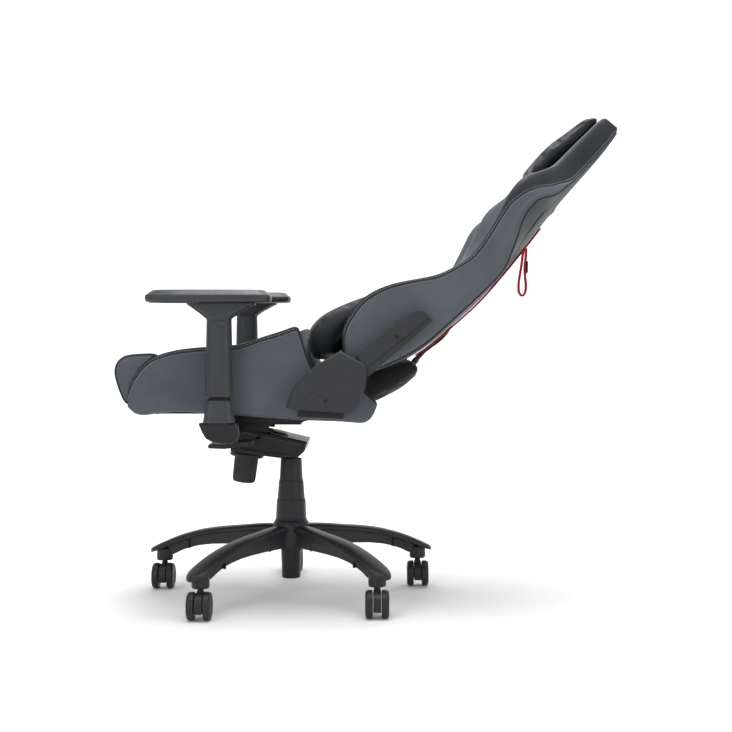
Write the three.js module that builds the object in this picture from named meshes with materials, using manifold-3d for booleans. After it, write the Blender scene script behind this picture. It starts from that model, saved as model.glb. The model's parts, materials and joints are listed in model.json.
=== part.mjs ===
// Reclined gaming chair on a five-star caster base. Millimetres, +Z up, the sitter faces -Y.
// The origin is on the floor under the middle of the whole chair; COLUMN_Y is where the gas column stands.

import * as THREE from "three";
import { mergeVertices } from "three/addons/utils/BufferGeometryUtils.js";
import Module from "manifold-3d";

const wasm = await Module();
wasm.setup();

// ---- driving dimensions ----
const COLUMN_Y = -188;
const GAP = 0.3;
const LEGS = 5;
const FIRST_LEG = 39; // degrees from +X, the first caster arm
const STEM_RADIUS = 330; // column axis to caster stem
const LEG_TIP = 366;
const WHEEL_R = 31;
const WHEEL_FACETS = 24;
const WHEEL_W = 17;
const CASTER_W = 53;
const TRAIL = 20; // stem axis to axle
const SOCKET_BOTTOM = 67;
const SPREAD = 250; // outer face of seat and backrest upholstery
const INNER = 168; // half width of the middle cushions
const PLATE_IN = 253.5; // inner face of the fixed recliner plate
const ARM_X = 293; // armrest post
const ARM_Y = -137;
const FAR_ARM_RAISED = 18; // the right armrest stands one notch higher
const HINGE = [93, 480]; // recline axis: Y, Z
const RECLINE = 45; // backrest from upright at rest, degrees
const PIVOT = [-138, 400]; // tilt axis: Y, Z
const KNOB = [-106, 341]; // top of the tension knob: Y, Z
const KNOB_LEAN = 7;

// ---- materials ----
const paint = (color, roughness, metalness = 0) =>
  new THREE.MeshStandardMaterial({ color, roughness, metalness });
const NYLON = paint(0x1c1d1f, 0.45);
const SATIN = paint(0x2f3133, 0.4);
const COVER = paint(0x3a3c3f, 0.55);
const STEEL = paint(0x17181a, 0.4, 0.6);
const CHROME = paint(0xb8babd, 0.15, 1);
const GREY_LEATHER = paint(0x50545c, 0.5);
const BLACK_LEATHER = paint(0x1a1b1e, 0.45);
const CLOTH = paint(0x141416, 0.85);
const WEBBING = paint(0xb0081f, 0.7);

// ---- helpers ----
function toSolid(geometry) {
  const g = geometry.index ? geometry.toNonIndexed() : geometry.clone();
  g.deleteAttribute("normal");
  g.deleteAttribute("uv");
  const merged = mergeVertices(g, 1e-3);
  return new wasm.Manifold(
    new wasm.Mesh({
      numProp: 3,
      vertProperties: merged.attributes.position.array,
      triVerts: new Uint32Array(merged.index.array),
    }),
  );
}

function toGeometry(solid) {
  const m = solid.getMesh();
  const g = new THREE.BufferGeometry();
  g.setAttribute("position", new THREE.BufferAttribute(new Float32Array(m.vertProperties), 3));
  g.setIndex(new THREE.BufferAttribute(new Uint32Array(m.triVerts), 1));
  g.computeVertexNormals();
  return g;
}

const join = (...parts) => toGeometry(parts.map(toSolid).reduce((a, b) => a.add(b)));
const cut = (body, ...tools) =>
  toGeometry(tools.map(toSolid).reduce((a, b) => a.subtract(b), toSolid(body)));
const common = (a, b) => toGeometry(toSolid(a).intersect(toSolid(b)));

const vec = (points) => points.map(([a, b]) => new THREE.Vector2(a, b));
const box = (x, y, z) => {
  const g = new THREE.BoxGeometry(x[1] - x[0], y[1] - y[0], z[1] - z[0]);
  return g.translate((x[0] + x[1]) / 2, (y[0] + y[1]) / 2, (z[0] + z[1]) / 2);
};

// A closed outline rounded through its points.
function rounded(points, perPoint = 2) {
  const loop = new THREE.CatmullRomCurve3(
    points.map(([a, b]) => new THREE.Vector3(a, b, 0)),
    true,
    "centripetal",
  );
  return loop.getPoints(points.length * perPoint).slice(0, -1).map((p) => [p.x, p.y]);
}

function extrude(outline, depth, bevel = 0) {
  return new THREE.ExtrudeGeometry(new THREE.Shape(vec(outline)), {
    depth: depth - 2 * bevel,
    bevelEnabled: bevel > 0,
    bevelThickness: bevel,
    bevelSize: bevel,
    bevelOffset: -bevel,
    bevelSegments: 1,
  }).translate(0, 0, bevel);
}

// Outline in X, Y; between two heights.
const upright = (outline, z0, z1, bevel = 0) => extrude(outline, z1 - z0, bevel).translate(0, 0, z0);

// Outline in Y, Z; between two X values.
function sideways(outline, x0, x1, bevel = 0) {
  const axes = new THREE.Matrix4().makeBasis(
    new THREE.Vector3(0, 1, 0),
    new THREE.Vector3(0, 0, 1),
    new THREE.Vector3(1, 0, 0),
  );
  return extrude(outline, x1 - x0, bevel).applyMatrix4(axes).translate(x0, 0, 0);
}

// Outline in X, Y, growing or shrinking in a straight line between two heights.
function tapered(outline, z0, z1, s0, s1, centre = [0, 0]) {
  const g = upright(outline, z0, z1);
  const p = g.attributes.position;
  for (let i = 0; i < p.count; i++) {
    const s = s0 + ((s1 - s0) * (p.getZ(i) - z0)) / (z1 - z0);
    p.setX(i, centre[0] + (p.getX(i) - centre[0]) * s);
    p.setY(i, centre[1] + (p.getY(i) - centre[1]) * s);
  }
  return g;
}

// A turned piece about Z: profile of [radius, height] from the axis and back to it.
const lathe = (profile, segments = 24) =>
  new THREE.LatheGeometry(vec(profile), segments).rotateX(Math.PI / 2);
const rod = (r, z0, z1, segments = 16) => lathe([[0, z0], [r, z0], [r, z1], [0, z1]], segments);

// A round bar along X at Y, Z.
const crossBar = (r, x0, x1, y, z, segments = 12) =>
  rod(r, x0, x1, segments).rotateY(Math.PI / 2).translate(0, y, z);

// A round bar along a curve of points.
function tube(points, r, steps, sides = 8, closed = false) {
  const path = new THREE.CatmullRomCurve3(
    points.map((p) => new THREE.Vector3(...p)),
    closed,
    "centripetal",
  );
  const section = new THREE.Shape();
  section.absarc(0, 0, r, 0, 2 * Math.PI, false);
  return new THREE.ExtrudeGeometry(section, { steps, curveSegments: sides / 2, extrudePath: path });
}

function roundedRect(w, h, r, corner = 3) {
  const points = [];
  const [x0, y0] = [w / 2 - r, h / 2 - r];
  const corners = [[x0, y0], [-x0, y0], [-x0, -y0], [x0, -y0]];
  corners.forEach(([x, y], quarter) => {
    for (let i = 0; i <= corner; i++) {
      const a = ((quarter + i / corner) * Math.PI) / 2;
      points.push([x + r * Math.cos(a), y + r * Math.sin(a)]);
    }
  });
  return points;
}

const shifted = (outline, dx, dy) => outline.map(([x, y]) => [x + dx, y + dy]);
const scaled = (outline, s, [cx, cy]) =>
  outline.map(([x, y]) => [cx + (x - cx) * s, cy + (y - cy) * s]);

const chair = new THREE.Group();
const frame = new THREE.Group(); // everything measured from the column's axis
frame.position.y = COLUMN_Y;
chair.add(frame);
const back = new THREE.Group(); // the backrest, drawn upright from the recline axis
back.position.set(0, ...HINGE);
back.rotation.x = THREE.MathUtils.degToRad(-RECLINE);
frame.add(back);

function add(name, geometry, material, parent = frame) {
  const mesh = new THREE.Mesh(geometry, material);
  mesh.name = name;
  parent.add(mesh);
  return mesh;
}

// Right-hand pieces are the left-hand ones mirrored across X = 0.
function mirrored(geometry) {
  const g = (geometry.index ? geometry.toNonIndexed() : geometry.clone()).scale(-1, 1, 1);
  const p = g.attributes.position;
  for (let i = 0; i < p.count; i += 3) {
    const [x, y, z] = [p.getX(i), p.getY(i), p.getZ(i)];
    p.setXYZ(i, p.getX(i + 1), p.getY(i + 1), p.getZ(i + 1));
    p.setXYZ(i + 1, x, y, z);
  }
  g.computeVertexNormals();
  return g;
}

const SIDES = [["left", (g) => g], ["right", mirrored]];

// ---- five-star base ----
const HUB_TOP = 179;
const TUBE_R = 25;

function leg() {
  const capWidth = [[20, 24], [80, 22], [200, 25], [300, 29], [338, 29], [357, 20], [LEG_TIP, 0]];
  const webWidth = [[20, 17], [200, 14], [310, 13], [330, 0]];
  const capTop = [[20, 168], [50, 168], [127, 161], [234, 149.5], [290, 130], [LEG_TIP + 2, 95]];
  const capUnder = [[LEG_TIP + 2, 84], [285, 114], [230, 134], [127, 146], [20, 152]];
  const webUnder = [[304, 82], [261, 102], [200, 113], [20, 115]];
  const plan = (half) => [
    ...half.map(([r, w]) => [r, -w]),
    ...half.slice().reverse().filter(([, w]) => w > 0),
  ];
  const radial = (outline) => sideways(outline, -40, 40).rotateZ(-Math.PI / 2);
  const cap = common(upright(plan(capWidth), 60, 180), radial([...capTop, ...capUnder]));
  const web = common(upright(plan(webWidth), 60, 180), radial([[20, 155], [304, 118], ...webUnder]));
  const socket = rod(19.2, SOCKET_BOTTOM, 104, 20).translate(STEM_RADIUS, 0, 0);
  const bore = rod(5.9, SOCKET_BOTTOM - 1, 98, 12).translate(STEM_RADIUS, 0, 0);
  return cut(join(cap, web, socket), bore);
}

function starBase() {
  const hub = lathe([[0, 110], [40, 110], [44.5, 122], [44.5, 168], [37, HUB_TOP], [0, HUB_TOP]], 30);
  const legs = Array.from({ length: LEGS }, (_, i) => leg().rotateZ(legAngle(i)));
  return cut(join(hub, ...legs), rod(TUBE_R + GAP, 100, 190, 24));
}

const legAngle = (i) => THREE.MathUtils.degToRad(FIRST_LEG + (i * 360) / LEGS);

add("star_base", starBase(), NYLON);

// ---- casters: a hood on a stem, and two wheels on one axle ----
const AXLE_R = 4;
const WHEEL_IN = CASTER_W / 2 - WHEEL_W;

function casterHood() {
  const arch = new THREE.Shape();
  arch.absarc(TRAIL, WHEEL_R, 28.5, THREE.MathUtils.degToRad(-30), THREE.MathUtils.degToRad(210), false);
  const shell = new THREE.ExtrudeGeometry(arch, { depth: 18, bevelEnabled: false, curveSegments: 14 });
  shell.rotateX(Math.PI / 2).translate(0, 9, 0);
  const neck = rod(6.7, 40, 60.5, 12);
  const stem = rod(5.5, 60, 96, 12);
  const axleHole = rod(AXLE_R + 0.3, -20, 20, 12).rotateX(Math.PI / 2).translate(TRAIL, 0, WHEEL_R);
  return cut(join(shell, neck, stem), axleHole);
}

function casterWheels() {
  const facet = Math.PI / WHEEL_FACETS;
  const r = WHEEL_R / Math.cos(facet); // the lowest facet lies flat on the floor
  const outside = CASTER_W / 2;
  const side = [[0, WHEEL_IN], [18, WHEEL_IN], [r, WHEEL_IN + 1], [r, outside - 4], [r - 4, outside]];
  const wheel = [...side, [0, outside]];
  const one = lathe(wheel, WHEEL_FACETS).rotateZ(facet);
  const other = one.clone().rotateX(Math.PI);
  const axle = rod(AXLE_R, -12, 12, 12);
  return join(one, other, axle).rotateX(Math.PI / 2).translate(TRAIL, 0, WHEEL_R);
}

// Every caster trails to the sitter's left, as if the chair had just been pushed to the right.
for (let i = 0; i < LEGS; i++) {
  const stem = new THREE.Group();
  const a = legAngle(i);
  stem.position.set(STEM_RADIUS * Math.cos(a), STEM_RADIUS * Math.sin(a), 0);
  frame.add(stem);
  add(`caster_hood_${i + 1}`, casterHood(), NYLON, stem);
  add(`caster_wheels_${i + 1}`, casterWheels(), NYLON, stem);
}

// ---- gas column ----
const TUBE_TOP = 214;
const LIFT_TOP = 366;
const RAM_R = 14;

const outerTube = lathe([
  [0, 39], [22, 39], [22.5, 60], [TUBE_R, 110], [TUBE_R, TUBE_TOP], [RAM_R + 0.5, TUBE_TOP],
  [RAM_R + 0.5, 44], [0, 44],
]);
const ram = lathe([
  [5.5, 134], [RAM_R, 134], [RAM_R, 345], [RAM_R - 1, LIFT_TOP], [0, LIFT_TOP], [0, 340],
  [5.5, 340], [5.5, 134],
]);
const rodFoot = lathe([[0, 44.4], [9, 44.4], [9, 52], [5, 52], [5, 238], [0, 238]], 16);
add("gas_outer_tube", outerTube, STEEL);
add("pressure_tube", ram, STEEL);
add("piston_rod", rodFoot, CHROME);

// Three telescoping covers: foot radius, head radius, foot height, head height.
function columnCover(r0, r1, z0, z1, wall = 1.3) {
  return lathe([[r0 - wall, z0], [r0, z0], [r1, z1], [r1 - wall, z1], [r0 - wall, z0]], 24);
}
add("cover_lower", columnCover(37, 34.9, HUB_TOP + GAP, 226), NYLON);
add("cover_middle", columnCover(33.1, 29.7, 226.3, 272), NYLON);
add("cover_upper", columnCover(28, 25.3, 272.3, 326), NYLON);

// ---- tilt mechanism ----
const HOUSING_HALF = 80;
const LEVER_AXIS = [-72, 378]; // Y, Z of both levers' rods

function tiltHousing() {
  const side = [
    [-104, 405], [43, 371], [36, 348], [20, 334], [-22, 333], [-100, 343], [-138, 350], [-136, 362],
  ];
  const body = sideways(side, -HOUSING_HALF, HOUSING_HALF, 3);
  const lug = (x) =>
    join(
      crossBar(13, x - 5, x + 5, ...PIVOT, 16),
      sideways([[-148, 396], [-130, 360], [-100, 370], [-100, 400], [-128, 411]], x - 5, x + 5),
    );
  const socket = rod(RAM_R + GAP, 300, LIFT_TOP + 1, 20);
  const springWell = rod(24, 300, 392, 20).translate(0, KNOB[0], 0);
  const shaft = crossBar(6 + GAP, -90, 90, ...PIVOT, 16);
  const leverHole = crossBar(4.4, -90, 90, ...LEVER_AXIS, 12);
  return cut(join(body, lug(-52), lug(52)), socket, springWell, shaft, leverHole);
}

add("tilt_housing", tiltHousing(), STEEL);
add("pivot_shaft", crossBar(6, -74, 74, ...PIVOT, 16), CHROME);

function tiltSpring() {
  const turns = 4;
  const steps = turns * 10;
  const coil = Array.from({ length: steps + 1 }, (_, i) => {
    const a = (i / steps) * turns * 2 * Math.PI;
    return [17 * Math.cos(a), 17 * Math.sin(a), 348 + (i / steps) * 38];
  });
  return tube(coil, 3, steps, 6).translate(0, KNOB[0], 0);
}
add("tilt_spring", tiltSpring(), STEEL);

function tensionKnob() {
  const profile = [[0, -73], [25, -73], [27.5, -69], [29, -12], [40, -10], [41, -4], [38, -1], [0, -1]];
  const grip = lathe(profile, 24);
  const screw = rod(5, -2, 44, 12);
  return join(grip, screw).rotateX(THREE.MathUtils.degToRad(-KNOB_LEAN)).translate(0, ...KNOB);
}
add("tension_knob", tensionKnob(), NYLON);

// A flat paddle on a bent rod; the rod turns in the housing.
function lever() {
  const rodPart = crossBar(4, HOUSING_HALF - 30, 168, ...LEVER_AXIS, 12);
  const paddle = [[0, -5], [0, 5], [28, 9], [62, 7], [95, 12], [98, 8], [96, 3], [62, -3]];
  const blade = sideways(paddle.map(([along, up]) => [-along, up]), 160, 235, 1.5);
  const tilt = THREE.MathUtils.degToRad(-8);
  blade.rotateX(-tilt).translate(0, LEVER_AXIS[0], LEVER_AXIS[1] + 1);
  return join(rodPart, blade);
}
add("tilt_lever", lever(), NYLON);
add("lift_lever", mirrored(lever()), NYLON);

// ---- seat plate and frame ----
const PLATE_Z = [413, 417];

function seatPlate() {
  const top = box([-100, 100], [-128, 30], PLATE_Z);
  const ear = (x) => {
    const outline = [[-152, 400], [-146, 388], [-130, 388], [-118, 404], [-100, 416], [-150, 416]];
    const cheek = sideways(outline, x - 2.5, x + 2.5);
    return cut(cheek, crossBar(6 + GAP, x - 5, x + 5, ...PIVOT, 16));
  };
  const boss = (x, y) => rod(9, 416, 436, 12).translate(x, y, 0);
  const bosses = [-84, 84].flatMap((x) => [-112, 12].map((y) => boss(x, y)));
  const lip = box([-65, 65], [-154, -126], [414, 417]);
  return join(top, lip, ear(-66), ear(66), ...bosses);
}
add("seat_plate", seatPlate(), STEEL);

const RAIL_Z = 450;
const REAR_TUBE = [118, 447];

function seatFrame() {
  const rail = (x) => rod(10, -300, REAR_TUBE[0], 12).rotateX(-Math.PI / 2).translate(x, 0, RAIL_Z);
  const bars = [
    crossBar(10, -150, 150, -296, RAIL_Z),
    crossBar(10, -150, 150, -112, RAIL_Z),
    crossBar(10, -150, 150, 12, RAIL_Z),
    crossBar(10, -PLATE_IN + GAP, PLATE_IN - GAP, ...REAR_TUBE),
  ];
  return join(rail(-130), rail(130), ...bars);
}
add("seat_frame", seatFrame(), STEEL);

// ---- seat upholstery ----
const SEAT_SIDE = [
  [-373, 528], [-374, 543], [-366, 564], [-352, 575], [-293, 579], [-227, 591], [-108, 599],
  [-50, 617], [-6, 630], [31, 642], [44, 593], [66, 545], [120, 540], [170, 500], [209, 472],
  [205, 456], [196, 434], [181, 424], [137, 428], [38, 432], [-183, 448], [-291, 446],
  [-316, 443], [-331, 447], [-345, 461], [-356, 478], [-366, 503],
];
const SEAT_MIDDLE = [
  [-371, 530], [-366, 552], [-345, 564], [-290, 562], [-180, 540], [-60, 516], [0, 506],
  [40, 500], [80, 495], [130, 490], [162, 487], [162, 462], [-300, 462], [-338, 465],
  [-358, 492],
];
const RAM_SHAFT_R = 5;

function seatBolster() {
  const pad = sideways(SEAT_SIDE, INNER + 2, SPREAD, 8);
  const shaft = crossBar(RAM_SHAFT_R + 1, 100, 300, ...HINGE);
  const frameHole = crossBar(10.5, 100, 300, ...REAR_TUBE);
  return cut(pad, shaft, frameHole);
}
for (const [side, flip] of SIDES) add(`seat_bolster_${side}`, flip(seatBolster()), GREY_LEATHER);

const seatPad = cut(sideways(SEAT_MIDDLE, -INNER, INNER, 10), crossBar(RAM_SHAFT_R + 1, -200, 200, ...HINGE));
add("seat_cushion", seatPad, BLACK_LEATHER);

// ---- recliners ----
const RECLINER_T = 7;
const ARM_PLATE_X = PLATE_IN + RECLINER_T + GAP;

function recliner() {
  const plate = [[30, 441], [40, 462], [62, 500], [80, 515], [106, 515], [128, 496], [140, 462], [132, 436]];
  const shape = join(
    sideways(plate, PLATE_IN, PLATE_IN + RECLINER_T),
    crossBar(37, PLATE_IN, PLATE_IN + RECLINER_T, ...HINGE, 24),
  );
  return cut(shape, crossBar(RAM_SHAFT_R + GAP, 200, 300, ...HINGE));
}
for (const [side, flip] of SIDES) add(`recliner_${side}`, flip(recliner()), STEEL);
add("recline_shaft", crossBar(RAM_SHAFT_R, -268, 268, ...HINGE), CHROME);

const HINGE_COVER = [
  [7, 463], [13, 480], [24, 506], [74, 556], [127, 587], [180, 558], [184, 548], [183, 519],
  [170, 467], [159, 453], [138, 450], [22, 459],
];
const COVER_OUT = 295;
const COVER_SKIN = 288.5;

function hingeCover(openFront) {
  const middle = [98, 505];
  const shell = sideways(HINGE_COVER, ARM_PLATE_X, COVER_OUT, 4);
  const pocket = sideways(scaled(HINGE_COVER, 0.93, middle), PLATE_IN - 1, COVER_SKIN);
  const sweep = new THREE.Shape(); // the backrest's arm turns in this fan
  const [from, to] = [-25, 130].map(THREE.MathUtils.degToRad);
  sweep.absarc(0, 0, 170, from, to, false);
  const sector = [[0, 0], ...sweep.getPoints(10).map((p) => [p.x, p.y])];
  const fan = sideways(sector, PLATE_IN - 1, COVER_SKIN).translate(0, ...HINGE);
  const front = box([PLATE_IN - 1, COVER_SKIN], [-10, 34], [462, 520]);
  return cut(shell, pocket, fan, ...(openFront ? [front] : []));
}
add("hinge_cover_left", hingeCover(false), COVER);
add("hinge_cover_right", mirrored(hingeCover(true)), COVER);

const LEVER_HUB = [46, 478];
function reclineLever() {
  const x = [-286, -272];
  const hub = crossBar(12, ...x, ...LEVER_HUB, 16);
  const arm = [[0, -8], [0, 8], [-60, 7], [-112, 3], [-118, -3], [-112, -9], [-60, -8]];
  return join(hub, sideways(shifted(arm, ...LEVER_HUB), ...x, 2));
}
add("recline_lever", reclineLever(), COVER);

// ---- backrest, in its own upright frame (Y forward negative, Z up from the recline axis) ----
const SHELL_REAR = [
  [34, 95], [58, 163], [76, 231], [84, 300], [90, 405], [84, 507], [74, 600], [62, 700], [56, 800], [48, 880],
];
const SHELL_T = 12;
const HEAD_HALF = 146;
const CUSHION_FRONT = [
  [8, 905], [2, 880], [2, 720], [8, 620], [10, 520], [12, 430], [-6, 360], [-30, 300], [-44, 200],
  [-44, 120], [-46, 64],
];
const CUSHION_BACK = [
  [-30, 60], [-12, 110], [8, 163], [20, 231], [26, 300], [32, 405], [28, 507], [18, 600], [14, 700],
  [14, 800], [16, 905],
];
const BOLSTER_FRONT = [
  [-40, 100], [-64, 117], [-81, 137], [-91, 163], [-97, 195], [-97, 218], [-87, 258], [-65, 301],
  [-34, 346], [-14, 386], [-4, 420], [3, 455], [3, 480], [-8, 534], [-29, 597], [-39, 640],
  [-36, 671], [-10, 695],
];
const BOLSTER_REAR = [
  [30, 690], [24, 655], [24, 630], [36, 588], [54, 550], [74, 490], [80, 440], [78, 320],
  [74, 231], [52, 163], [30, 112],
];
const TUBE_LINE = [
  [20, 140], [45, 231], [52, 300], [58, 405], [54, 507], [42, 600], [32, 700], [28, 800], [28, 850],
];
const CROSS_LOW = [16, 138]; // lower cross tube of the back frame
const FRAME_R = 9;
// The cable leaves the pouch and goes back in through a hole in the shell.
const CABLE = [
  [0, 88, 204], [0, 88, 228], [0, 91, 252], [0, 94.5, 276], [0, 95, 298], [0, 90.5, 318],
  [0, 80, 334], [0, 66, 344],
];
const CABLE_R = 4;

function backShell() {
  const inner = SHELL_REAR.map(([y, z]) => [y - SHELL_T, z + 3]).reverse();
  const low = sideways([...SHELL_REAR, ...inner], -INNER, INNER);
  const plan = [
    [-INNER, 60], [INNER, 60], [INNER, 600], [INNER - 2, 660], [HEAD_HALF, 740],
    [HEAD_HALF - 8, 860], [96, 900], [-96, 900], [8 - HEAD_HALF, 860], [-HEAD_HALF, 740],
    [2 - INNER, 660], [-INNER, 600],
  ];
  const shell = common(low, upright(plan, -200, 200).rotateX(Math.PI / 2));
  return cut(shell, tube(CABLE, CABLE_R + GAP, 16));
}
add("back_shell", backShell(), BLACK_LEATHER, back);

function backCushion() {
  const block = sideways([...CUSHION_FRONT, ...CUSHION_BACK], -INNER, INNER);
  const plan = [
    [-INNER, 60], [INNER, 60], [INNER, 640], [HEAD_HALF, 720], [HEAD_HALF - 4, 850], [100, 910],
    [-100, 910], [4 - HEAD_HALF, 850], [-HEAD_HALF, 720], [-INNER, 640],
  ];
  return common(block, upright(plan, -200, 200).rotateX(Math.PI / 2));
}
add("back_cushion", backCushion(), BLACK_LEATHER, back);

function backBolster() {
  const pad = sideways([...BOLSTER_FRONT, ...BOLSTER_REAR], INNER + 2, SPREAD, 8);
  return cut(pad, crossBar(FRAME_R + 1, 100, 300, ...CROSS_LOW));
}
for (const [side, flip] of SIDES) add(`back_bolster_${side}`, flip(backBolster()), GREY_LEATHER, back);

function backFrame() {
  const across = (z) => (z < 600 ? 132 : z < 760 ? 118 : 104);
  const side = (s) => TUBE_LINE.map(([y, z]) => [s * across(z), y, z]);
  const hoop = tube([...side(1), ...side(-1).reverse()], FRAME_R, 30, 8);
  const low = crossBar(FRAME_R, -ARM_PLATE_X - 1, ARM_PLATE_X + 1, ...CROSS_LOW);
  const middle = crossBar(FRAME_R - 2, -132, 132, 58, 405);
  const arm = [[-18, 5], [-16, 100], [-6, 200], [6, 272], [36, 280], [28, 180], [20, 100], [18, 5]];
  const plate = join(
    sideways(arm, ARM_PLATE_X, ARM_PLATE_X + 5),
    crossBar(22, ARM_PLATE_X, ARM_PLATE_X + 5, 0, 0, 20),
  );
  const left = cut(plate, crossBar(RAM_SHAFT_R + GAP, 200, 300, 0, 0));
  return join(hoop, low, middle, left, mirrored(left));
}
add("back_frame", backFrame(), STEEL, back);

const ARM_COVER = [[-21, 116], [-19, 130], [3, 280], [12, 289], [44, 291], [46, 284], [32, 104], [24, 100]];
const armCover = sideways(ARM_COVER, ARM_PLATE_X + 5 + GAP, 285.5, 4);
for (const [side, flip] of SIDES) add(`back_arm_cover_${side}`, flip(armCover), COVER, back);

// ---- pillows, pouch and strap ----
const LUMBAR = [
  [-60, 92], [-66, 50], [-84, 28], [-112, 42], [-137, 66], [-135, 124], [-121, 171], [-99, 228],
  [-80, 262], [-56, 262], [-60, 200],
];
add("lumbar_pillow", sideways(LUMBAR, -150, 150, 12), BLACK_LEATHER, back);

const HEAD_PILLOW = [
  [-6, 705], [-34, 697], [-45, 735], [-46, 775], [-36, 840], [-26, 898], [-16, 908], [-4, 900], [-4, 740],
];
add("head_pillow", sideways(HEAD_PILLOW, -128, 128, 5), BLACK_LEATHER, back);

const POUCH = [
  [58, 70], [70, 49], [78, 49], [102, 119], [110, 180], [112, 192], [104, 203], [78, 203],
  [64, 158], [48, 112],
];
add("rear_pouch", sideways(POUCH, -128, 128, 6), CLOTH, back);

add("cable", tube(CABLE, CABLE_R, 16), NYLON, back);

const STRAP_TOP = [564, 834];
function strapLoop() {
  const outer = [
    [4, 0], [-3, -1], [-7, -14], [-9, -50], [-16, -85], [-17, -108], [-7, -121], [3, -110],
    [4, -88], [4, -50],
  ];
  const eye = [[-6, -84], [-11.5, -92], [-11.5, -106], [-7, -114], [-2, -106], [-1.5, -90]];
  const band = cut(sideways(outer, -9, 9), sideways(eye, -10, 10));
  return band.translate(0, ...STRAP_TOP);
}
add("strap_loop", strapLoop(), WEBBING);

// ---- armrests ----
const POST = roundedRect(24, 44, 8);
const HEAD_TOP = 690.5;
const PAD_Z = [691, 719];
const PAD_X = 305;
const PAD_Y = -157;
const SLEEVE_Z = [487, 658];

function armBracket() {
  const cheek = [[-179, 429.5], [-168, 402], [-150, 391], [-104, 391], [-98, 405], [-98, 429.5]];
  const plates = [
    sideways(cheek, 284, 290),
    box([106, 288], [-162, -106], [398, 403]),
    box([106, 112], [-162, -106], [398, 428]),
    box([84, 112], [-162, -130], [423, 428]),
  ];
  const stub = box([281, 305], [ARM_Y - 22, ARM_Y + 22], [420, 446]);
  const post = upright(shifted(POST, ARM_X, ARM_Y), 440, 600);
  return join(...plates, stub, post);
}

function armShroud() {
  const outer = roundedRect(50, 69, 18, 4);
  const outside = tapered(shifted(outer, ARM_X, ARM_Y), 430, 478, 1, 0.81, [ARM_X, ARM_Y]);
  const hole = upright(shifted(roundedRect(26, 46, 8), ARM_X, ARM_Y), 420, 490);
  const skirt = box([270, 310], [ARM_Y - 24, ARM_Y + 24], [425, 447]);
  return cut(outside, hole, skirt);
}

function armSleeve() {
  const outer = roundedRect(42, 55, 16, 4);
  const body = tapered(shifted(outer, ARM_X, ARM_Y), ...SLEEVE_Z, 1.1, 1, [ARM_X, ARM_Y]);
  const flare = tapered(shifted(outer, ARM_X, ARM_Y), 650, 672, 1, 1.35, [ARM_X, ARM_Y]);
  const shoulders = [
    [-164, 655], [-112, 655], [-88, 672], [-57, 684], [-57, HEAD_TOP], [-207, HEAD_TOP],
    [-207, 684], [-186, 672],
  ];
  const head = sideways(shoulders, ARM_X - 25, ARM_X + 25, 3);
  const hole = upright(shifted(roundedRect(25, 45, 8), ARM_X, ARM_Y), 480, 672);
  const pocket = box([ARM_X + 16, ARM_X + 40], [-149, -117], [640, 663]);
  return cut(join(body, flare, head), hole, pocket);
}

function armButton() {
  return sideways(shifted(roundedRect(31, 22, 6), -133, 651.5), ARM_X + 18.5, ARM_X + 28, 1.5);
}

const padMount = (outline) => shifted(outline, PAD_X, ARM_Y);
const slidePlate = upright(padMount(roundedRect(56, 84, 10)), HEAD_TOP + GAP, 695);
const turntable = rod(34, 695.3, 699.5, 24).translate(PAD_X, ARM_Y, 0);

function armPad() {
  const half = [[24, -136], [44, -118], [50, -60], [50, 60], [44, 122], [24, 134]];
  const outline = rounded([...half, ...half.map(([x, y]) => [-x, y]).reverse()]);
  const pad = upright(shifted(outline, PAD_X, PAD_Y), ...PAD_Z, 7);
  const recess = upright(shifted(roundedRect(88, 200, 8), PAD_X, ARM_Y), 680, 700);
  return cut(pad, recess);
}

// The right armrest's moving part stands a notch higher on its post.
for (const [side, flip] of SIDES) {
  const raise = side === "right" ? FAR_ARM_RAISED : 0;
  add(`arm_${side}_bracket`, flip(armBracket()), STEEL);
  add(`arm_${side}_shroud`, flip(armShroud()), SATIN);
  const moving = new THREE.Group();
  moving.position.z = raise;
  frame.add(moving);
  add(`arm_${side}_sleeve`, flip(armSleeve()), SATIN, moving);
  add(`arm_${side}_button`, flip(armButton()), SATIN, moving);
  add(`arm_${side}_slide_plate`, flip(slidePlate), STEEL, moving);
  add(`arm_${side}_turntable`, flip(turntable), STEEL, moving);
  add(`arm_${side}_pad`, flip(armPad()), SATIN, moving);
}

export default chair;
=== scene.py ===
# %% [markdown]
# # A reclined gaming chair, piece by piece
# The chair is already drawn as plain solids, one for each part that moves. This lesson
# dresses them: each soft or moulded piece is made again with its real rounding, seams and
# finish, and rides on the same moving body as the plain solid that it stands for.

# %% Load the frame
import bisect
import json
import math

import bmesh
import bpy
from mathutils import Matrix, Vector
from mathutils.bvhtree import BVHTree

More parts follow.
